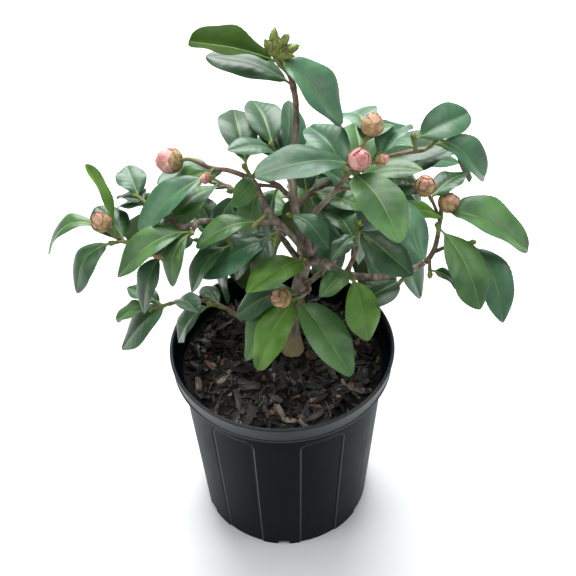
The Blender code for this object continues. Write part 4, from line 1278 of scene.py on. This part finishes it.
def limb_lines(plan):
    """Every limb of the trunk and boughs as a smooth line with its radii, wider where it leaves another."""
    lines = []
    for tubes in plan.limbs.values():
        for index, (points, radii) in enumerate(tubes):
            line, width = resampled(points, radii, LIMB_SPACING)
            if index:
                width = width * (1 + COLLAR * np.exp(-np.array(distances_of(line)) / COLLAR_REACH))
            lines.append((line, width))
    return lines


def bark_relief(out, way, far, radius, seed):
    """How far the bark stands out at a point on a limb, in millimetres."""
    spot = out * BARK_LUMPS[0] + way * (far * BARK_LUMPS[1]) + seed
    lumps = noise.noise(spot)
    ridges = 1 - abs(noise.noise(spot * RIDGE_SCALE + seed)) * 2
    grain = noise.noise(out * BARK_GRAIN[0] + way * (far * BARK_GRAIN[1]) + seed)
    ring = math.exp(-((far % RING_SPACING - RING_SPACING / 2) / RING_WIDTH) ** 2)
    relief = LUMP_HEIGHT * lumps + RIDGE_HEIGHT * ridges + GRAIN_HEIGHT * grain
    return min(1.0, radius / FULL_RELIEF_RADIUS) * relief + RING_HEIGHT * ring


def limb_samples(lines):
    """Points along every limb with their directions, distances, radii and seeds, and a tree to find them."""
    samples = []
    for number, (line, width) in enumerate(lines):
        ways, _, _ = carried_frames(line)
        seed = Vector([number * step for step in LIMB_SEED])
        samples += [(Vector(point), Vector(way), far, radius, seed)
                    for point, way, far, radius in zip(line, ways, distances_of(line), width)]
    tree = kdtree.KDTree(len(samples))
    for index, sample in enumerate(samples):
        tree.insert(sample[0], index)
    tree.balance()
    return samples, tree


def make_wood(plan, finish):
    """Trunk and boughs as one grown form: tubes joined, rounded where they meet, then given their bark."""
    pile = Pile()
    lines = limb_lines(plan)
    for line, width in lines:
        pile.add(*tube_of(line, width, LIMB_FINE_SIDES))
    rough = object_of("rough_wood", pile.mesh("rough_wood", []))
    modify(rough, "REMESH", mode="VOXEL", voxel_size=WOOD_VOXEL * MM)
    modify(rough, "SMOOTH", **WOOD_SETTLING)
    mesh = settled_mesh(rough)
    samples, tree = limb_samples(lines)
    for vert in mesh.vertices:
        point = vert.co / MM
        _, index, _ = tree.find(point)
        middle, way, far, radius, seed = samples[index]
        out = point - middle
        out -= way * out.dot(way)
        if out.length > LEAST_OFFSET:
            out.normalize()
            vert.co += out * bark_relief(out, way, far, radius, seed) * MM
    mesh.materials.clear()
    mesh.materials.append(finish)
    mesh.polygons.foreach_set("use_smooth", np.ones(len(mesh.polygons), bool))
    wood = as_piece(object_of("trunk_and_boughs", mesh))
    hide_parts(*plan.limbs)


def make_twigs(plan, finishes):
    """Stems and twigs of every mass, swollen at each leaf, brown at the foot and green towards the tip."""
    pile = Pile()
    for node, tubes in plan.tubes.items():
        joints = np.array([tuple(leaf.root) for leaf in plan.leaves.get(node, ())]).reshape(-1, 3)
        for points, radii in tubes:
            line, width = resampled(points, radii, TWIG_SPACING)
            if len(joints):
                gaps = np.linalg.norm(line[:, None] - joints[None], axis=2)
                width = width + TWIG_SWELL * np.exp(-(gaps / TWIG_SWELL_REACH) ** 2).max(axis=1)
            verts, faces = tube_of(line, width, TWIG_FINE_SIDES)
            left = np.linalg.norm(line - line[-1], axis=1)
            rows = [min(face[0] // TWIG_FINE_SIDES, len(line) - 1) for face in faces]
            pile.add(verts, faces, [int(left[row] < YOUNG_WOOD) for row in rows])
    twigs = pile.piece("twigs", "foliage", finishes, TUBE_CREASE)
    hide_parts(*plan.tubes)


def bud_radius(height, radius, length):
    """Radius of a bud at a height, from a round shoulder to a closed point."""
    share = np.clip(height / length, 0.0, 1.0)
    return radius * np.clip(np.sin(math.pi * share ** BUD_SHOULDER), 0, 1) ** BUD_FULLNESS


def scale_faces():
    """Faces of a bud scale, with 1 for those at its rim, whose darker tone is partly a real brown edge and
    partly painted shade where scales overlap.
    """
    faces, finish = [], []
    for row, column in itertools.product(range(SCALE_ROWS), range(SCALE_COLUMNS)):
        corner = row * (SCALE_COLUMNS + 1) + column
        faces.append((corner, corner + 1, corner + SCALE_COLUMNS + 2, corner + SCALE_COLUMNS + 1))
        finish.append(int(row == SCALE_ROWS - 1 or column in (0, SCALE_COLUMNS - 1)))
    return faces, finish


def scale_points(kind, radius, length, azimuth, low, high, out):
    """One scale of a bud: a spoon-shaped patch that wraps its round body and lifts a little at the rim."""
    rows = np.linspace(0, 1, SCALE_ROWS + 1)[:, None]
    columns = np.linspace(-1, 1, SCALE_COLUMNS + 1)[None, :]
    spread = math.radians(kind.spread) * (SCALE_WIDTHS[0] + SCALE_WIDTHS[1] * np.sin(math.pi * rows))
    spread = spread * np.sqrt(SCALE_END - rows ** SCALE_POINT)
    height = low + (high - low) * rows - kind.hollow * length * columns ** 2 * rows * (1 - rows)
    around = azimuth + columns * spread
    lift = out + kind.lift * rows ** 3 + SCALE_CURL * columns ** 2
    reach = bud_radius(height, radius, length) + lift
    tall = height + SCALE_CURL * lift * rows
    return np.stack([reach * np.cos(around), reach * np.sin(around), tall], axis=-1).reshape(-1, 3)


@dataclass
class BudKind:
    """The make of a kind of bud: outer scales and inner petals, and how they sit."""
    scales: int
    petals: int
    scale_top: tuple
    petal_top: tuple
    spread: float
    lift: float
    hollow: float


BUD_KINDS = {
    "full": BudKind(5, 8, (0.16, 0.3), (0.7, 1.0), 84, 0.5, 0.25),
    "pink": BudKind(6, 7, (0.2, 0.36), (0.72, 1.0), 84, 0.5, 0.25),
    "tan": BudKind(8, 3, (0.4, 0.96), (0.97, 1.02), 84, 0.25, 0.15),
    "small": BudKind(5, 4, (0.3, 0.6), (0.85, 1.0), 74, 0.25, 0.2),
    "green": BudKind(5, 1, (0.55, 1.0), (0.9, 1.0), 60, 0.5, 0.1),
}


def all_buds(plan):
    """The buds of the plan, and a small shoot bud on each tip that has none."""
    buds = [bud for held in plan.buds.values() for bud in held]
    taken = [bud.root for bud in buds]
    for points, _ in itertools.chain(*plan.tubes.values()):
        if all((points[-1] - root).length > SHOOT_ROOM for root in taken):
            buds.append(Bud(points[-1], (points[-1] - points[-2]).normalized(), "shoot"))
    return buds


def add_bud(pile, bud, shape, rng):
    """Adds a bud: scales that overlap around closed petals, and a heart that closes it."""
    kind = BUD_KINDS[shape]
    is_shoot = shape == "green"
    radius, length = SHOOT_BUD if bud.kind == "shoot" else BUDS[bud.kind]
    radius *= SHOOT_PLUMPNESS if is_shoot else 1
    turn = np.array(UP.rotation_difference(bud.axis).to_matrix())
    root = np.array(bud.root - bud.axis * BUD_ROOT * (SHOOT_DEPTH if is_shoot else 1.0))
    first = rng.uniform(0, 2 * math.pi)
    count = kind.scales + kind.petals
    petal = BLUSH if shape == "tan" else PETAL
    step = LARGE_STEP if radius > LARGE_BUD else SMALL_STEP
    faces, rim = scale_faces()
    for index in range(count):
        inner = index >= kind.scales
        start, end = kind.petal_top if inner else kind.scale_top
        number, last = (index - kind.scales, kind.petals - 1) if inner else (index, kind.scales - 1)
        high = length * (start + (end - start) * (number / max(1, last)))
        low = length * PETAL_FOOT if inner else 0.0
        verts = scale_points(kind, radius - SCALE_THICKNESS * count * SCALE_CROWDING, length,
                             first + math.radians(GOLDEN_ANGLE) * index, low, high,
                             SCALE_THICKNESS * (count - index) * step)
        pile.add(verts @ turn.T + root, faces, [petal if inner else edge for edge in rim])
    verts, faces = closed_heart(radius * HEART_WIDTH, length * HEART_LENGTH)
    pile.add(verts @ turn.T + root, faces, [PETAL] * len(faces))


def make_buds(plan, flower_finishes, shoot_finishes):
    """Flower buds and shoot buds, each kind as one piece of thin scales."""
    rng = random.Random(BUD_SEED)
    flowers, shoots = Pile(), Pile()
    for bud in all_buds(plan):
        shape = bud.kind if bud.kind in BUD_KINDS else "green"
        add_bud(shoots if shape == "green" else flowers, bud, shape, rng)
    kinds = (("flower_buds", flowers, flower_finishes), ("shoot_buds", shoots, shoot_finishes))
    for name, pile, finishes in kinds:
        loose = object_of("loose_" + name, pile.mesh(name, finishes))
        modify(loose, "SOLIDIFY", thickness=SCALE_THICKNESS * MM, offset=-1)
        as_piece(object_of(name, settled_mesh(loose)))


def closed_heart(radius, length):
    """The closed body inside a bud."""
    levels = np.linspace(0, length, HEART_STEPS)
    line = np.stack([np.zeros(HEART_STEPS), np.zeros(HEART_STEPS), levels], axis=1)
    return tube_of(line, bud_radius(levels, radius, length) + HEART_LEAST, HEART_STEPS)


def body_radius(height):
    """Outer radius of the pot's tapering body at a height."""
    return BASE_RADIUS + (BODY_TOP_RADIUS - BASE_RADIUS) * height / BODY_TOP


def arc(centre, radius, start, end):
    """Points of an arc in the (radius, height) plane, between two angles in degrees."""
    angles = [math.radians(start + (end - start) * step / ARC_STEPS) for step in range(ARC_STEPS + 1)]
    return [(centre[0] + radius * math.cos(angle), centre[1] + radius * math.sin(angle)) for angle in angles]


def pot_profile():
    """The pot's section: up the inside, over the rolled lip, down the band, bead and body, to the base."""
    lip = (RIM_RADIUS - LIP_RADIUS, POT_HEIGHT - LIP_RADIUS)
    band = RIM_RADIUS - LIP_RADIUS
    bead = (band - BAND_DRAFT - BEAD_RADIUS / 2, BAND_FOOT - BEAD_RADIUS)
    inner_band = band - WALL
    coarse = np.arange(FIRST_ROW, PANEL_TOP + FINE_ROW, -POT_ROW)
    fine = np.arange(PANEL_TOP + FINE_ROW, PANEL_TOP - PANEL_CORNER - FINE_ROW, -FINE_ROW)
    lower = np.arange(PANEL_TOP - PANEL_CORNER - 2 * FINE_ROW, LAST_ROW, -POT_ROW)
    return [
        (body_radius(FLOOR) - WALL, FLOOR),
        (body_radius(BODY_TOP) - WALL, BODY_TOP),
        (inner_band - BAND_DRAFT, BODY_TOP + 2 * BEAD_RADIUS),
        (inner_band, BAND_TOP),
        *arc(lip, LIP_RADIUS, *LIP_ARC),
        (band, BAND_TOP),
        (band - BAND_DRAFT, BAND_FOOT),
        *arc(bead, BEAD_RADIUS, *BEAD_ARC),
        (BODY_TOP_RADIUS + BAND_DRAFT, BODY_TOP + BAND_DRAFT),
        *((body_radius(height), height) for height in [*coarse, *fine, *lower]),
        (body_radius(BASE_EDGE), BASE_EDGE),
        (BASE_RADIUS - BASE_EDGE, 0.0),
    ]


def panel_share(bearing, height):
    """How far a point of the pot's body lies inside a sunk panel: 0 outside it, 1 on its flat."""
    pitch = 360 / PANELS
    turn = (bearing - FRONT - PANEL_TURN + pitch / 2) % pitch - pitch / 2
    radius = body_radius(height)
    half = radius * math.tan(math.pi / (2 * PANELS))
    beyond = np.abs(radius * np.tan(np.radians(turn))) - (half - PANEL_CORNER)
    above = height - (PANEL_TOP - PANEL_CORNER)
    outside = np.hypot(np.maximum(beyond, 0), np.maximum(above, 0)) + np.minimum(np.maximum(beyond, above), 0)
    return smoothstep(-PANEL_BEVEL, 0, PANEL_CORNER - outside - PANEL_BEVEL / 2)


def turned_skin(profile, columns, offset=0.0):
    """Points and faces of a solid turned from a profile, with a point at each end on the axis."""
    turns = np.radians(offset + np.arange(columns) * 360 / columns)
    profile = np.array(profile)
    rings = np.stack([profile[:, :1] * np.cos(turns), profile[:, :1] * np.sin(turns),
                      np.repeat(profile[:, 1:], columns, axis=1)], axis=-1)
    faces = []
    for row in range(len(profile) - 1):
        low, high = row * columns, (row + 1) * columns
        faces += [(low + column, high + column, high + (column + 1) % columns, low + (column + 1) % columns)
                  for column in range(columns)]
    first, last = len(profile) * columns, (len(profile) - 1) * columns
    faces += [(first, column, (column + 1) % columns) for column in range(columns)]
    faces += [(first + 1, last + (column + 1) % columns, last + column) for column in range(columns)]
    ends = np.array([(0, 0, profile[0, 1]), (0, 0, profile[-1, 1])])
    return rings, ends, faces


def drain_cutters():
    """Rounded blocks where the drain holes go, in a collection of their own."""
    cutters = bpy.data.collections.new("drain cutters")
    bpy.context.scene.collection.children.link(cutters)
    for index in range(DRAINS):
        box = bmesh.new()
        size = Matrix.Diagonal((DRAIN_REACH * MM, DRAIN_WIDTH * MM, 2 * DRAIN_HEIGHT * MM, 1))
        bmesh.ops.create_cube(box, size=1.0, matrix=size)
        outward = [edge for edge in box.edges if abs(edge.verts[0].co.x - edge.verts[1].co.x) > MM]
        bmesh.ops.bevel(box, geom=outward, offset=DRAIN_ROUND * MM, segments=DRAIN_ROUND_STEPS, profile=0.5,
                        affect="EDGES")
        mesh = bpy.data.meshes.new("drain_cutter")
        box.to_mesh(mesh)
        box.free()
        cutter = bpy.data.objects.new("drain_cutter", mesh)
        cutters.objects.link(cutter)
        bearing = math.radians(FRONT + DRAIN_TURN + index * 360 / DRAINS)
        cutter.rotation_euler.z = bearing
        cutter.location = (math.cos(bearing) * BASE_RADIUS * MM, math.sin(bearing) * BASE_RADIUS * MM, 0)
    return cutters


def make_pot(finishes):
    """The pot: a fine turned shell with sunk panels and drain holes, its lip, band and panel edges lighter as
    a painted highlight.
    """
    profile = pot_profile()
    rings, ends, faces = turned_skin(profile, POT_COLUMNS, PANEL_TURN)
    bearings = PANEL_TURN + np.arange(POT_COLUMNS) * 360 / POT_COLUMNS
    outer = len(profile) - 1 - np.argmax([height >= FIRST_ROW for _, height in reversed(profile)])
    for row in range(outer, len(profile)):
        radius, height = profile[row]
        sunk = PANEL_DEPTH * panel_share(bearings, height)
        rings[row, :, :2] *= ((radius - sunk) / radius)[:, None]
    verts = np.concatenate([rings.reshape(-1, 3), ends])
    # Faces of the lip, band, bead and panel bevels take the edge plastic, whose lighter tone is a painted
    # highlight
    edge = np.zeros((len(profile) - 1, POT_COLUMNS), int)
    edge[RIM_ROW:outer] = 1
    shares = np.array([panel_share(bearings, height) for _, height in profile[outer:-1]])
    edge[outer:] = (shares > PANEL_EDGE[0]) & (shares < PANEL_EDGE[1])
    painted_highlight_faces = [*edge.reshape(-1), *([0] * 2 * POT_COLUMNS)]
    rough = object_of("rough_pot", mesh_of("rough_pot", verts, faces, finishes, painted_highlight_faces))
    cutters = drain_cutters()
    modify(rough, "BOOLEAN", operation="DIFFERENCE", solver="MANIFOLD", operand_type="COLLECTION",
           collection=cutters)
    mesh = settled_mesh(rough)
    mesh.set_sharp_from_angle(angle=math.radians(POT_CREASE))
    for cutter in list(cutters.objects):
        bpy.data.objects.remove(cutter)
    bpy.data.collections.remove(cutters)
    pot = as_piece(object_of("fluted_pot", mesh))
    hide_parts("pot")


def bark_height(x, y):
    """Height of the bed of bark before its chips."""
    level = BARK_TOP - BARK_SINK - (BARK_TOP - BARK_EDGE) * (math.hypot(x, y) / BODY_TOP_RADIUS) ** 2
    for relief, scale, layer in BARK_WAVES:
        level += relief * noise.noise(Vector((x, y, layer)) * scale)
    return level


def make_bark_bed(finish):
    """The bed of fine dark bark under the chips, which fills the pot to its floor."""
    edge = body_radius(BARK_EDGE) - WALL - GAP
    foot = body_radius(FLOOR + GAP) - WALL - GAP
    profile = [(edge * ring / BARK_RINGS, BARK_TOP) for ring in range(1, BARK_RINGS + 1)]
    rings, ends, faces = turned_skin([*profile, (foot, FLOOR + GAP)], BARK_TURNS)
    for ring in rings[:-1]:
        for point in ring:
            point[2] = bark_height(point[0], point[1])
    ends[0][2] = bark_height(0, 0)
    verts = np.concatenate([rings.reshape(-1, 3), ends])
    faces = [tuple(reversed(face)) for face in faces]
    bed = as_piece(object_of("bark_bed", mesh_of("bark_bed", verts, faces, [finish])))
    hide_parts("potting_bark")


def chip_shape(rng):
    """A bark chip one unit long: a flat splinter with broken ends and uneven faces."""
    rings = []
    width = rng.uniform(*CHIP_WIDTHS)
    thick = rng.uniform(*CHIP_THICKNESSES)
    curl = rng.uniform(-CHIP_CURL, CHIP_CURL)
    for step in range(CHIP_STEPS):
        share = step / (CHIP_STEPS - 1)
        swell = math.sin(math.pi * (CHIP_SPAN[0] + CHIP_SPAN[1] * share))
        narrow = (CHIP_NARROW[0] + CHIP_NARROW[1] * swell) * rng.uniform(*CHIP_UNEVEN)
        shift = rng.uniform(-CHIP_SHIFT, CHIP_SHIFT)
        bow = curl * (share - 0.5) ** 2 * 4
        ring = []
        for y, z in CHIP_CORNERS:
            along = share - 0.5 + rng.uniform(-CHIP_BREAK, CHIP_BREAK)
            deep = thick / 2 * narrow * z + bow + rng.uniform(-CHIP_ROUGH, CHIP_ROUGH)
            ring.append((along, width / 2 * narrow * y + shift, deep))
        rings.append(ring)
    verts, faces = loft(rings)
    return np.array(verts), faces


def on_disc(rng, reach):
    """A radius and a turn that spread points evenly over a disc."""
    return reach * math.sqrt(rng.random()), rng.uniform(0, 2 * math.pi)


def strew_chips(rng, room, count):
    """Bark chips strewn over the bed in layers, in one pile for each tone."""
    shapes = [chip_shape(rng) for _ in range(CHIP_SHAPES)]
    piles = [Pile() for _ in range(count)]
    for _ in range(CHIPS):
        size = CHIP_SIZES[0] + (CHIP_SIZES[1] - CHIP_SIZES[0]) * rng.random() ** CHIP_SMALLNESS
        radius, turn = on_disc(rng, room - size * CHIP_EDGE)
        x, y = radius * math.cos(turn), radius * math.sin(turn)
        from_trunk = math.hypot(x - TRUNK.via[0][0], y - TRUNK.via[0][1])
        if from_trunk < TRUNK_ROOM + size * TRUNK_ROOM_SHARE:
            continue
        level = bark_height(x, y) + rng.uniform(*CHIP_LAYERS)
        spin = Matrix.Rotation(rng.uniform(0, 2 * math.pi), 3, "Z")
        tip = Matrix.Rotation(math.radians(rng.gauss(0, CHIP_TIP)), 3, "Y")
        lean = Matrix.Rotation(math.radians(rng.gauss(0, CHIP_LEAN)), 3, "X")
        verts, faces = shapes[rng.randrange(CHIP_SHAPES)]
        placed = verts * size @ np.array((spin @ tip @ lean).transposed()) + (x, y, level)
        over = np.hypot(placed[:, 0], placed[:, 1]).max() - room
        if over > 0:
            placed[:, :2] *= (radius - over) / radius if radius > over else 1
        piles[rng.choices(range(count), CHIP_MIX)[0]].add(placed, faces)
    return piles


def strew_straws(rng, room):
    """A few pale straws, bowed and lying on the chips, in one pile."""
    straws = Pile()
    for index in range(STRAWS):
        radius, turn = on_disc(rng, room - STRAW_EDGE)
        start = Vector((radius * math.cos(turn), radius * math.sin(turn), 0))
        lay = turn * STRAW_TURN + index
        way = Vector((math.cos(lay), math.sin(lay), 0))
        bow = Vector((-way.y, way.x, 0)) * rng.uniform(-STRAW_BOW, STRAW_BOW)
        reach = rng.uniform(*STRAW_LENGTHS)
        line = [start + way * reach * (share - 0.5) + bow * math.sin(math.pi * share)
                for share in np.linspace(0, 1, STRAW_KNOTS)]
        line = [point for point in line if point.xy.length < room]
        if len(line) < STRAW_LEAST:
            continue
        for point in line:
            point.z = bark_height(point.x, point.y) + STRAW_LIFT
        fine, width = resampled(line, [rng.uniform(*STRAW_RADII)] * len(line), STRAW_SPACING)
        straws.add(*tube_of(fine, width, STRAW_SIDES))
    return straws


def make_chips(finishes):
    """Bark chips over the bed, a piece for each tone, and the straws among them."""
    rng = random.Random(CHIP_SEED)
    room = body_radius(BARK_EDGE) - WALL - WALL_ROOM
    piles = strew_chips(rng, room, len(finishes))
    for pile, finish, tone in zip(piles, finishes, CHIP_TONES):
        pile.piece("bark_chips_" + tone, "potting_bark", [finish], CHIP_CREASE)
    strew_straws(rng, room).piece("straws", "potting_bark", [finishes[-1]], TUBE_CREASE)


def leaf_finish(name, deep, light, roughness, wax, gloss):
    """Leathery leaf: a colour that drifts a little over the blade, a waxy gloss and a fine grain."""
    finish = Finish(name, Coat_Weight=wax, Coat_Roughness=WAX_ROUGHNESS, Coat_IOR=WAX_IOR,
                    Specular_IOR_Level=gloss)
    drift = finish.noise(*LEAF_DRIFT)
    grain = finish.noise(*LEAF_GRAIN)
    dulling = drift * LEAF_DULLING[0] + grain * LEAF_DULLING[1]
    finish.dress(finish.ramp(drift, zip(LEAF_STOPS, (deep, light))), dulling + (roughness - ROUGHNESS_DROP))
    finish.bump(grain, LEAF_GRAIN_DEPTH)
    return finish.material


def plain_finish(name, dark, light, roughness, scale, depth, coat=0.0):
    """A colour that varies softly between two tones, with a fine grain."""
    finish = Finish(name, Coat_Weight=coat, Coat_Roughness=COAT_ROUGHNESS)
    drift = finish.noise(scale, PLAIN_DETAIL)
    finish.dress(finish.ramp(drift, zip(PLAIN_STOPS, (dark, light))),
                 drift * PLAIN_DULLING + (roughness - ROUGHNESS_DROP))
    finish.bump(finish.noise(scale * PLAIN_GRAIN[0], PLAIN_GRAIN[1]), depth)
    return finish.material


def bark_finish():
    """Stem bark: grey-brown, streaked along the stem, with greenish stains and a pale one at its foot."""
    finish = Finish("stem bark")
    streaks = finish.noise(*BARK_STREAKS, finish.stretched(STREAK_STRETCH))
    patches = finish.noise(*BARK_PATCHES)
    moss = finish.ramp(patches, MOSS_PATCHES) * MOSS_STRENGTH
    foot = finish.ramp((FOOT_STAIN_TOP - finish.height()) * FOOT_STAIN_RISE + patches, FOOT_STAIN_EDGE)
    bark = finish.mix(moss, finish.ramp(streaks, BARK_TONES), MOSS)
    finish.dress(finish.mix(foot * FOOT_STAIN_STRENGTH, bark, FOOT_STAIN),
                 streaks * BARK_DULLING + BARK_ROUGHNESS)
    finish.bump(streaks + finish.noise(*BARK_PORES) * PORE_SHARE, BARK_DEPTH)
    return finish.material


def plastic_finish(name, deep, light, gloss):
    """Moulded black plastic: a soft gloss, a fine texture and a little dust."""
    finish = Finish(name, Specular_IOR_Level=gloss)
    dust = finish.noise(*DUST)
    scuffs = finish.noise(*SCUFFS, finish.stretched(SCUFF_STRETCH))
    both = dust * DUST_SHARES[0] + scuffs * DUST_SHARES[1]
    finish.dress(finish.ramp(both, zip(PLASTIC_STOPS, (deep, light))),
                 dust * DUST_DULLING[0] + scuffs * DUST_DULLING[1] + PLASTIC_ROUGHNESS)
    finish.bump(finish.noise(*MOULD_GRAIN), MOULD_DEPTH)
    return finish.material


def make_lamps():
    """Soft round lamps around the plant, and a pale sky."""
    world = bpy.data.worlds.new("studio")
    bpy.context.scene.world = world
    world.use_nodes = True
    sky = world.node_tree.nodes["Background"]
    sky.inputs["Color"].default_value = (*SKY_COLOUR, 1)
    sky.inputs["Strength"].default_value = SKY_STRENGTH
    for name, place, size, power, colour in LAMPS:
        light = bpy.data.lights.new(name, "AREA")
        light.shape = "DISK"
        light.size = size
        light.energy = power
        light.color = colour
        lamp = object_of(name, light)
        lamp.location = place
        lamp.rotation_euler = (LAMP_AIM - Vector(place)).to_track_quat("-Z", "Y").to_euler()


def make_camera():
    """The camera at the photo's angle."""
    lens = bpy.data.cameras.new("camera")
    lens.lens = LENS
    camera = object_of("camera", lens)
    ahead = heading(*CAMERA_AIM)
    right = ahead.cross(UP).normalized()
    above = right.cross(ahead)
    roll = math.radians(CAMERA_ROLL)
    across = right * math.cos(roll) + above * math.sin(roll)
    upward = above * math.cos(roll) - right * math.sin(roll)
    turn = Matrix((across, upward, -ahead)).transposed().to_4x4()
    camera.matrix_world = Matrix.Translation(CAMERA_PLACE) @ turn
    bpy.context.scene.camera = camera
    bpy.context.scene.view_settings.view_transform = "Standard"


def make_floor():
    """A plain pale floor."""
    finish = Finish("pale floor", Base_Color=FLOOR_COLOUR, Roughness=FLOOR_ROUGHNESS)
    corners = [(x, y, 0) for x, y in FLOOR_CORNERS]
    floor = object_of("floor", mesh_of("floor", corners, [(0, 1, 2, 3)], [finish.material]))


def make_leaves(plan, uppers, midrib, underside):
    """Every leaf of the plan made fine, joined by the tone that its spray has."""
    rng = random.Random(LEAF_SEED)
    faces, finish = leaf_faces()
    piles = {tone: Pile() for tone in uppers}
    for node, leaves in plan.leaves.items():
        name = node.removeprefix(FOLIAGE)
        for index, leaf in enumerate(leaves):
            habit = habit_of(rng, RARE_HABITS.get(name, {}).get(index, {}))
            tone = rng.choices(list(COMMON_TONES), list(COMMON_TONES.values()))[0]
            tone = RARE_TONES.get(name, {}).get(index, tone)
            piles[tone].add(fine_leaf(leaf, habit), faces, finish)
    for tone, pile in piles.items():
        pile.piece("leaves_" + tone, "foliage", [uppers[tone], midrib, underside], LEAF_CREASE)


def fill_out(plan):
    """Lays more leaves by the same rule, where the others leave room for them."""
    for node, points, shown, more, has_flower in plan.waiting:
        if node.removeprefix(FOLIAGE) in FILLED_MASSES:
            plan.lay_more(node, points, len(shown) + more, FILLING_LEAVES, has_flower)


def main():
    """Plans the plant, makes its finishes and pieces, and sets the stage."""
    plan = Plan()
    fill_out(plan)
    uppers = {tone: leaf_finish("leaf " + tone, *shades) for tone, shades in LEAF_TONES.items()}
    plain = {name: plain_finish(name, *facts) for name, facts in PLAIN_FINISHES.items()}
    make_leaves(plan, uppers, plain["leaf midrib"], plain["leaf underside"])
    make_wood(plan, bark_finish())
    make_twigs(plan, [plain["twig bark"], plain["green shoot"]])
    make_buds(plan, [plain[name] for name in FLOWER_FINISHES], [plain[name] for name in SHOOT_FINISHES])
    make_pot([plastic_finish(name, *facts) for name, facts in PLASTICS.items()])
    make_bark_bed(plain["fine bark"])
    make_chips([plain_finish("bark chips " + tone, *shades, *CHIP_SURFACE)
                for tone, shades in CHIP_TONES.items()])
    make_floor()
    make_lamps()
    make_camera()


main()
